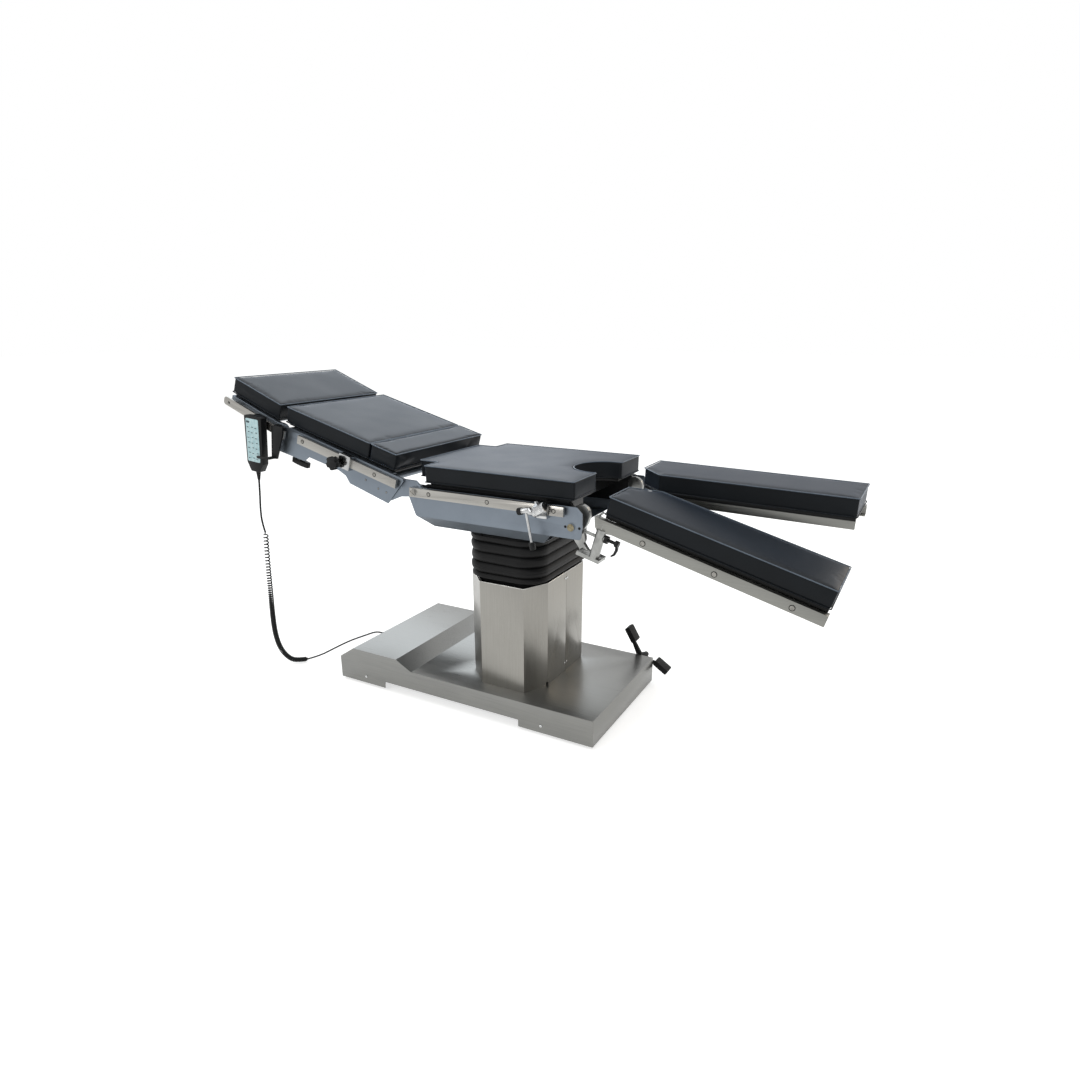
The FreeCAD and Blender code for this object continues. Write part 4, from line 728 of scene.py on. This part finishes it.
def leatherette(name, shade, worn_shade, rough):
    """Polyurethane-coated knit: near black, with a fine pebbled grain and a soft shine.

    A thin sheen turns it a little blue where it is seen at a low angle.
    """
    material, tree, cover = new_material(name)
    spot = object_spot(tree)
    wiped = noise(tree, spot, 9.0, 4.0)
    vary_tone(tree, cover, wiped, shade, worn_shade, 0.3, 0.75)
    vary_gloss(tree, cover, wiped, rough, rough + 0.05, 0.3, 0.7)
    # The embossed pebbles are 0.8 mm; drawn at 1.6 mm so that they show.
    pebble = add(tree, "TexVoronoi", {"Vector": spot, "Scale": 620.0},
                 feature="SMOOTH_F1").outputs["Distance"]
    emboss(tree, cover, pebble, 0.1, 0.0003)
    cover.inputs["Specular IOR Level"].default_value = 0.14
    cover.inputs["Sheen Weight"].default_value = 0.19
    cover.inputs["Sheen Roughness"].default_value = 0.35
    cover.inputs["Sheen Tint"].default_value = linear("9CB8E0")
    return material


cover_black = leatherette("leatherette_pebbled", "14171A", "1A1E22", 0.4)
# A pale copy of the cover for the top edge beads: a painted highlight along the lit edges.
bead_painted_highlight = leatherette("leatherette_edge_painted_highlight", "5E6873", "6E7884", 0.24)


def hinged(spot, degrees):
    """From a section's own frame at its hinge to the row frame."""
    return Matrix.Translation(spot) @ Matrix.Rotation(math.radians(degrees), 4, "Y")


to_back = hinged((back_hinge_x, 0, back_hinge_z), 15.3) @ to_far
to_head = to_back @ hinged((0.612, 0, 0), -6.2)
to_near_leg = hinged((leg_hinge_x, 0, leg_hinge_z), 15.3)
to_far_leg = hinged((leg_hinge_x, 0, leg_hinge_z), 1.1)
voxel, slack_depth, most_give, off_board, fill_steps = 0.006, 0.002, 0.0028, 0.0002, 20


def fill_cushion(pad):
    """Presses the cover outwards for twenty steps, then holds it close to its foam."""
    start = [point.co.copy() for point in pad.data.vertices]
    foam = pad.modifiers.new("foam", "CLOTH")
    foam.settings.use_pressure = True
    foam.settings.uniform_pressure_force = 4.0
    foam.settings.effector_weights.gravity = 0.0
    foam.settings.quality = 4
    foam.point_cache.frame_start = 1
    foam.point_cache.frame_end = fill_steps
    for step in range(1, fill_steps + 1):
        bpy.context.scene.frame_set(step)
    apply_all(pad)
    for point, spot in zip(pad.data.vertices, start):
        shift = point.co - spot
        if shift.length > most_give:
            point.co = spot + shift * (most_give / shift.length)
    bpy.context.scene.frame_set(1)


def cushion(name, solid, body, place):
    """A filled cushion from its block: drawn in, remeshed evenly, blown up and rounded."""
    pad = merged_copy(name, solid)
    level = place.inverted()
    bottom = min((level @ point.co).z for point in pad.data.vertices)
    slack = pad.modifiers.new("slack", "DISPLACE")
    slack.strength = -slack_depth
    slack.mid_level = 0
    apply_all(pad)
    pad.data.remesh_voxel_size = voxel
    pick_only(pad)
    bpy.ops.object.voxel_remesh()
    fill_cushion(pad)
    for point in pad.data.vertices:
        spot = level @ point.co
        spot.z = max(spot.z, bottom + off_board)
        point.co = place @ spot
    finer = pad.modifiers.new("finer", "SUBSURF")
    finer.levels = 1
    finer.render_levels = 1
    apply_all(pad)
    pick_only(pad)
    bpy.ops.object.shade_smooth()
    coat(pad, cover_black)
    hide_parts(solid)
    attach(pad, body)


bead_inward, bead_drop, bead_radius = 0.0018, 0.0016, 0.0018


def weld_bead(name, solid, body, place, up):
    """The narrow bead round a cushion's top edge (up is 1) or bottom edge (-1)."""
    shape = merged_copy(name + "_shape", solid)
    level = place.inverted().to_3x3()
    face = max(shape.data.polygons, key=lambda side: (level @ side.normal).z * up * side.area)
    outline = [shape.data.vertices[i].co.copy() for i in face.vertices]
    normal = face.normal.copy()
    bpy.data.objects.remove(shape)
    spots = []
    for i, corner in enumerate(outline):
        before = (corner - outline[i - 1]).normalized()
        after = (outline[(i + 1) % len(outline)] - corner).normalized()
        inner = (normal.cross(before) + normal.cross(after)).normalized()
        spread = max(0.5, inner.dot(normal.cross(after)))
        spots.append(corner + inner * (bead_inward / spread) - normal * bead_drop)
    # The top bead takes a pale copy of the cover as a painted highlight along the lit top edge;
    # the bottom one keeps the cover's own black.
    cover = bead_painted_highlight if up > 0 else cover_black
    fit(round_tube(name, spots, bead_radius, closed=True), cover, body)


cushions = [("seat_cushion", "seat_pad", "seat", flat),
            ("lumbar_cushion", "lumbar_pad", "back", to_back),
            ("back_cushion", "back_pad", "back", to_back),
            ("head_cushion", "head_pad", "head", to_head),
            ("leg_cushion_near", "leg_pad_near", "leg_near", to_near_leg),
            ("leg_cushion_far", "leg_pad_far", "leg_far", to_far_leg)]
for name, solid, body, place in cushions:
    cushion(name, solid, body, place)
    weld_bead(name + "_top_bead", solid, body, place, 1)
    weld_bead(name + "_bottom_bead", solid, body, place, -1)

# Back section: pressed side plates with a folded flange, tied by two tubes and
# lacquered like the trough, under a moulded board. Small screws hold the actuator arm.
coat(eased("back_side_plates", "back_frame", "back", 0.0009), plate_satin)
coat(eased("back_board", "back_panel", "back", 0.0025), board_black)
coat(eased("back_side_rails", "back_rails", "back", 0.0012), rail_steel)
plate_screw = round_head("plate_screw", 0.0026, 0.0012, 0.0012)
# The dark discs behind the rail and plate screws are painted shade for their recesses.
plate_recess_shade = dark_ring("plate_recess_shade", 0.0036)
# The back's own frame is turned half round, so its near side is at +y.
for label, turn, sign in (("near", to_far, 1), ("far", flat, -1)):
    set_screws("back_rail_screws_" + label, "back", rail_screw, rail_recess_shade,
               [(u, sign * rail_y, -0.001) for u in (0.164, 0.490)], turn, to_back)
    set_screws("back_plate_screws_" + label, "back", plate_screw, plate_recess_shade,
               [(u, sign * cheek_y, w) for u, w in
                ((0.117, -0.050), (0.152, -0.050), (0.209, -0.040))], turn, to_back)
for model in rail_screw, rail_recess_shade, plate_screw, plate_recess_shade:
    bpy.data.objects.remove(model)

# Head section: two machined bars on their own hinge, a board and short rails whose
# free ends are rounded and drilled.
coat(eased("head_side_bars", "head_frame", "head", 0.0012), plate_satin)
coat(eased("head_board", "head_panel", "head", 0.0025), board_black)
coat(eased("head_side_rails", "head_rails", "head", 0.0012), rail_steel)

# Legs: a disc arm that turns on the seat's hinge, a cast bracket that swings on the
# arm's pin, and a channel of brushed stainless with three deep-set socket screws.
leg_steel = brushed_sheet("stainless_brushed_channel", "8B8B87", "7F7F7B", "X")


def leg_pieces(label, place):
    """One leg's arm, channel, bracket, board and cushion stop, in place."""
    arm = eased("leg_disc_arm_" + label, "leg_arm_" + label, "leg_arm_" + label, 0.0012)
    coat(arm, cast_alloy)
    channel = eased("leg_channel_" + label, "leg_frame_" + label, "leg_" + label, 0.0014)
    coat(channel, leg_steel)
    channel.data.materials.append(cast_alloy)
    level, bracket_end = place.inverted(), 0.1215
    for face in channel.data.polygons:
        if (level @ face.center).x < bracket_end:
            face.material_index = 1
    coat(eased("leg_board_" + label, "leg_panel_" + label, "leg_" + label, 0.0025), board_black)
    # A bent rod at the head end keeps the cushion from sliding off its board.
    y = -0.245 if label == "near" else 0.245
    bend = ((0.084, 0.051), (0.073, 0.052), (0.0675, 0.056), (0.0675, 0.062), (0.0765, 0.0745))
    stop = round_tube("leg_cushion_stop_" + label, [(u, y, w) for u, w in bend], 0.0033)
    stop.data.transform(place)
    fit(stop, cast_alloy, "leg_" + label)


leg_pieces("near", to_near_leg)
leg_pieces("far", to_far_leg)
channel_screw = round_head("channel_screw", 0.0068, 0.0014, 0.0038)
# The dark discs behind the channel screws are painted shade for their recesses.
channel_recess_shade = dark_ring("channel_recess_shade", 0.0088)
channel_y, channel_screw_z = 0.262, 0.040
for (label, turn, sign), place in zip(both_sides, (to_near_leg, to_far_leg)):
    spots = [(u, sign * channel_y, channel_screw_z) for u in (0.219, 0.436, 0.655)]
    set_screws("leg_channel_screws_" + label, "leg_" + label, channel_screw, channel_recess_shade,
               spots, turn, place)
for model in channel_screw, channel_recess_shade:
    bpy.data.objects.remove(model)

# Leg locks: a clamping hub with a hooked lever on each leg, moulded in black.
knob_black = moulded_plastic("polyamide_moulded_black", "0E0F10", 0.36)
for label in "near", "far":
    coat(eased("leg_lock_lever_" + label, "leg_lock_" + label, "leg_lock_" + label, 0.001),
         knob_black)

# Seat rail clamp: a plated rotary clamp with a swivel spindle, tightened by a thin
# sliding bar. Black moulded caps close the spindle and the end of the bar.
clamp_chrome = chrome_plate("chrome_plated_casting", "A2A3A4", (0.08, 0.2), "C2C3C3")
rotary_clamp = coat(eased("seat_rail_clamp", "seat_clamp", "seat", 0.0022, steps=3), clamp_chrome)
# The casting in front of the jaw leans up to the foot end, and is drawn in to a barrel.
lean = math.radians(30)
barrel_x, barrel_z, jaw_front, jaw_end = 0.358, 0.779, -0.296, 0.3395
for point in rotary_clamp.data.vertices:
    if point.co.y < jaw_front and point.co.x > jaw_end:
        along, up = (point.co.x - barrel_x) * 1.2, (point.co.z - barrel_z) * 0.5
        point.co.x = barrel_x + along * math.cos(lean) - up * math.sin(lean)
        point.co.z = barrel_z + along * math.sin(lean) + up * math.cos(lean)
        point.co.y = jaw_front + (point.co.y - jaw_front) * 0.72
coat(eased("seat_clamp_bar", "seat_clamp_handle", "seat_clamp_handle", 0.0008), clamp_chrome)


def ribbed_cap(name, radius, length, ribs=14):
    """A cap along +Z with grip ribs round it and a domed end."""
    bpy.ops.object.select_all(action="DESELECT")
    bpy.ops.mesh.primitive_cylinder_add(vertices=ribs * 4, radius=radius, depth=length,
                                        location=(0, 0, length / 2))
    cap = bpy.context.object
    cap.name = name
    bpy.ops.object.transform_apply(location=True, rotation=True, scale=True)
    for point in cap.data.vertices:
        turn = math.atan2(point.co.y, point.co.x) * ribs
        reach = 1 - 0.035 * (1 + math.cos(turn))
        point.co.x *= reach
        point.co.y *= reach
    bevel_edges(cap, radius * 0.22, 3, folds=50)
    apply_all(cap)
    smooth_by_angle(cap, 40)
    return cap


to_handle = hinged((0.316, -0.316, 0.774), -12)
for name, radius, length, spot, turn in (
        ("spindle_cap", 0.0112, 0.017, (-0.0105, 0, 0), Matrix.Rotation(-math.pi / 2, 4, "Y")),
        ("bar_end_cap", 0.0092, 0.024, (0, 0, -0.0955), Matrix.Rotation(math.pi, 4, "X"))):
    cap = ribbed_cap(name, radius, length)
    cap.data.transform(to_handle @ Matrix.Translation(spot) @ turn)
    fit(cap, knob_black, "seat_clamp_handle")

# The thin near-black disc on the barrel's end is painted shade for its socket.
to_barrel = hinged((barrel_x, -0.3095, barrel_z), 60)
for name, radius, low, high, finish in (
        ("clamp_barrel", 0.0140, -0.022, 0.020, clamp_chrome),
        ("clamp_collar_low", 0.0152, -0.015, -0.010, clamp_chrome),
        ("clamp_collar_high", 0.0170, 0.008, 0.023, clamp_chrome),
        ("clamp_socket_shade", 0.0085, 0.0225, 0.0236, recess_painted_shade)):
    collar = ribbed_cap(name, radius, high - low, ribs=24)
    collar.data.transform(to_barrel @ Matrix.Translation((0, 0, low)))
    fit(collar, finish, "seat")

# Back rail clamp: a plated jaw drawn tight by a five-lobed moulded knob.
coat(eased("back_rail_clamp", "back_clamp", "back", 0.0014, steps=3), clamp_chrome)
coat(eased("back_clamp_star", "back_clamp_knob", "back_clamp_knob", 0.003, steps=3), knob_black)

# Head lock knobs: one moulded wing knob under the back's frame on each side.
for label in "near", "far":
    coat(eased("head_wing_knob_" + label, "head_knob_" + label, "head_knob_" + label, 0.0025,
               steps=3), knob_black)

# Handset and its holder: a moulded black case with a pale keypad film, hung by its hook
# on the peg of a moulded black arm that is clamped to the head rail.
case_black = moulded_plastic("abs_moulded_case", "121315", 0.34)
coat(eased("handset_case", "handset", "handset", 0.0022, steps=3), case_black)
coat(eased("handset_arm", "handset_holder", "head", 0.0012), knob_black)
hook_at = to_head @ Vector((0.088, 0, 0.008))
to_handset = hinged((hook_at.x, -0.306, hook_at.z + 0.007), 5)


def keypad_film(name, light, dark):
    """Screen-printed polyester film: pale blue-green with a slightly wavy satin face."""
    material, tree, film = new_material(name)
    wave = noise(tree, object_spot(tree), 90.0, 3.0)
    vary_tone(tree, film, wave, dark, light, 0.35, 0.65)
    emboss(tree, film, wave, 0.1, 0.0002)
    film.inputs["Roughness"].default_value = 0.3
    return material


def face_plate(name, x, z, wide, tall, front, thick, corner):
    """A thin plate with rounded corners on the handset's face, in the handset's frame."""
    bpy.ops.object.select_all(action="DESELECT")
    bpy.ops.mesh.primitive_cube_add(size=1, location=(x, front - thick / 2, z),
                                    scale=(wide, thick, tall))
    plate = bpy.context.object
    plate.name = name
    bpy.ops.object.transform_apply(location=True, rotation=True, scale=True)
    upright = plate.modifiers.new("corners", "BEVEL")
    upright.width = corner
    upright.segments = 4
    upright.limit_method = "WEIGHT"
    weights = plate.data.attributes.new("bevel_weight_edge", "FLOAT", "EDGE")
    for edge in plate.data.edges:
        a, b = (plate.data.vertices[i].co for i in edge.vertices)
        weights.data[edge.index].value = 1.0 if abs(a.y - b.y) > thick / 2 else 0.0
    bevel_edges(plate, thick * 0.35, 2, folds=60)
    apply_all(plate)
    smooth_by_angle(plate, 40)
    return plate


film_pale = keypad_film("polyester_printed_film", "CBE6EA", "B4D6DC")
film_dark = keypad_film("polyester_printed_marks", "3F5A61", "22343A")
# The film lies on the case, the keys on the film and the marks on the keys.
case_front, film_front, key_front = -0.0131, -0.0139, -0.0147
keypad = face_plate("handset_keypad", -0.003, -0.087, 0.062, 0.154, case_front, 0.0008, 0.005)
keys, marks = [], []
for row in range(7):
    for column in range(3):
        x, z = -0.022 + column * 0.019, -0.040 - row * 0.0185
        keys.append(face_plate("key", x, z, 0.0145, 0.0125, film_front, 0.0009, 0.003))
        side = 1 if (row + column) % 2 else -1
        marks.append(face_plate("mark", x + 0.0016 * side, z + 0.001 * side, 0.0088, 0.003,
                                key_front, 0.0003, 0.0009))
marks.append(face_plate("mark", -0.023, -0.0225, 0.017, 0.0075, film_front, 0.0005, 0.0035))
for name, group, material in (("handset_keys", keys, film_pale),
                              ("handset_marks", marks, film_dark),
                              ("handset_keypad", [keypad], film_pale)):
    pick_only(*group)
    if len(group) > 1:
        bpy.ops.object.join()
    joined = bpy.context.object
    joined.name = name
    joined.data.transform(to_handset)
    fit(joined, material, "handset")

# Brake pedal: a rocker on the far side, with a rounded rubber tread moulded over the end
# of each arm.
rocker = coat(eased("brake_rocker", "brake_pedal", "pedal", 0.0045, steps=3), sole_rubber)
tread_half_long, tread_half_thick = 0.040, 0.016
for middle, turn in ((Vector((0.428, 0.303, 0.1706)), math.radians(121)),
                     (Vector((0.5572, 0.303, 0.0591)), math.radians(-33))):
    upright = Matrix.Translation(middle) @ Matrix.Rotation(-turn, 4, "Y")
    level = upright.inverted()
    for point in rocker.data.vertices:
        spot = level @ point.co
        if abs(spot.x) < tread_half_long and abs(spot.z) < tread_half_thick:
            # The photo's treads are shorter, narrower and thinner than the solid's.
            point.co = upright @ Vector((spot.x * 0.8 - 0.003, spot.y * 0.74, spot.z * 0.68))

# Stage: a pale floor that keeps the table's shadow, a white world, plain soft lamps, and
# the camera at chest height on the near side, towards the foot end.


def seen_plainly(tree):
    """1 for rays of the camera, of mirrors and of glass, which see the white backdrop."""
    path = add(tree, "LightPath")
    shown = add(tree, "Math", {0: path.outputs["Is Camera Ray"], 1: path.outputs["Is Glossy Ray"]},
                operation="MAXIMUM")
    shown = add(tree, "Math", {0: shown.outputs["Value"], 1: path.outputs["Is Transmission Ray"]},
                operation="MAXIMUM")
    return shown.outputs["Value"]


bpy.ops.object.select_all(action="DESELECT")
floor_size, floor_z, floor_glow, fill_strength = 60, -0.0006, 0.62, 0.55
bpy.ops.mesh.primitive_plane_add(size=floor_size, location=(0, 0, floor_z))
floor = bpy.context.object
floor.name = "studio_floor"
floor_paint, tree, paint = new_material("studio_floor_paint")
paint.inputs["Base Color"].default_value = linear("E8E8E6")
paint.inputs["Roughness"].default_value = 0.9
paint.inputs["Specular IOR Level"].default_value = 0.0
paint.inputs["Emission Color"].default_value = (1, 1, 1, 1)
lift_up = add(tree, "Math", {0: seen_plainly(tree), 1: floor_glow}, operation="MULTIPLY")
tree.links.new(lift_up.outputs["Value"], paint.inputs["Emission Strength"])
coat(floor, floor_paint)

world = bpy.data.worlds.new("studio")
bpy.context.scene.world = world
world.use_nodes = True
sky = world.node_tree
sky.nodes.clear()
backdrop = add(sky, "Background", {"Color": (1, 1, 1, 1), "Strength": 1.0})
fill_light = add(sky, "Background", {"Color": (1, 1, 1, 1), "Strength": fill_strength})
both = add(sky, "MixShader", {0: seen_plainly(sky), 1: fill_light.outputs[0],
                              2: backdrop.outputs[0]})
add(sky, "OutputWorld", {"Surface": both.outputs[0]})

lamps = [("window", (-2.5, 2.6, 3.0), 3.4, 60, (0.84, 0.92, 1.0)),
         ("ceiling", (-0.2, -0.4, 4.4), 3.0, 50, (0.96, 0.98, 1.0)),
         ("doorway", (2.6, 2.8, 1.9), 1.6, 18, (1.0, 0.84, 0.64)),
         ("reading", (-0.9, -3.0, 2.3), 0.8, 14, (1.0, 0.98, 0.95))]
middle_of_table = Vector((0, 0, 0.6))
for name, spot, size, power, tint in lamps:
    lamp = bpy.data.lights.new(name, "AREA")
    lamp.size = size
    lamp.energy = power
    lamp.color = tint
    holder = bpy.data.objects.new(name, lamp)
    bpy.context.collection.objects.link(holder)
    holder.location = spot
    aim = middle_of_table - Vector(spot)
    holder.rotation_euler = aim.to_track_quat("-Z", "Y").to_euler()

camera = bpy.data.cameras.new("camera")
picture_wide, focal_pixels, shift_pixels = 1080, 737.5, 34.5
camera.sensor_width = 36
camera.lens = focal_pixels / picture_wide * 36
camera.shift_y = shift_pixels / picture_wide
camera.clip_end = 200
eye = bpy.data.objects.new("camera", camera)
bpy.context.collection.objects.link(eye)
turn, tilt = math.radians(28.7), math.radians(19.0)
look = Vector((-math.sin(turn) * math.cos(tilt), math.cos(turn) * math.cos(tilt),
               -math.sin(tilt)))
eye.location = (1.3674, -2.1483, 1.3029)
eye.rotation_euler = look.to_track_quat("-Z", "Y").to_euler()
bpy.context.scene.camera = eye
bpy.context.scene.view_settings.view_transform = "Standard"
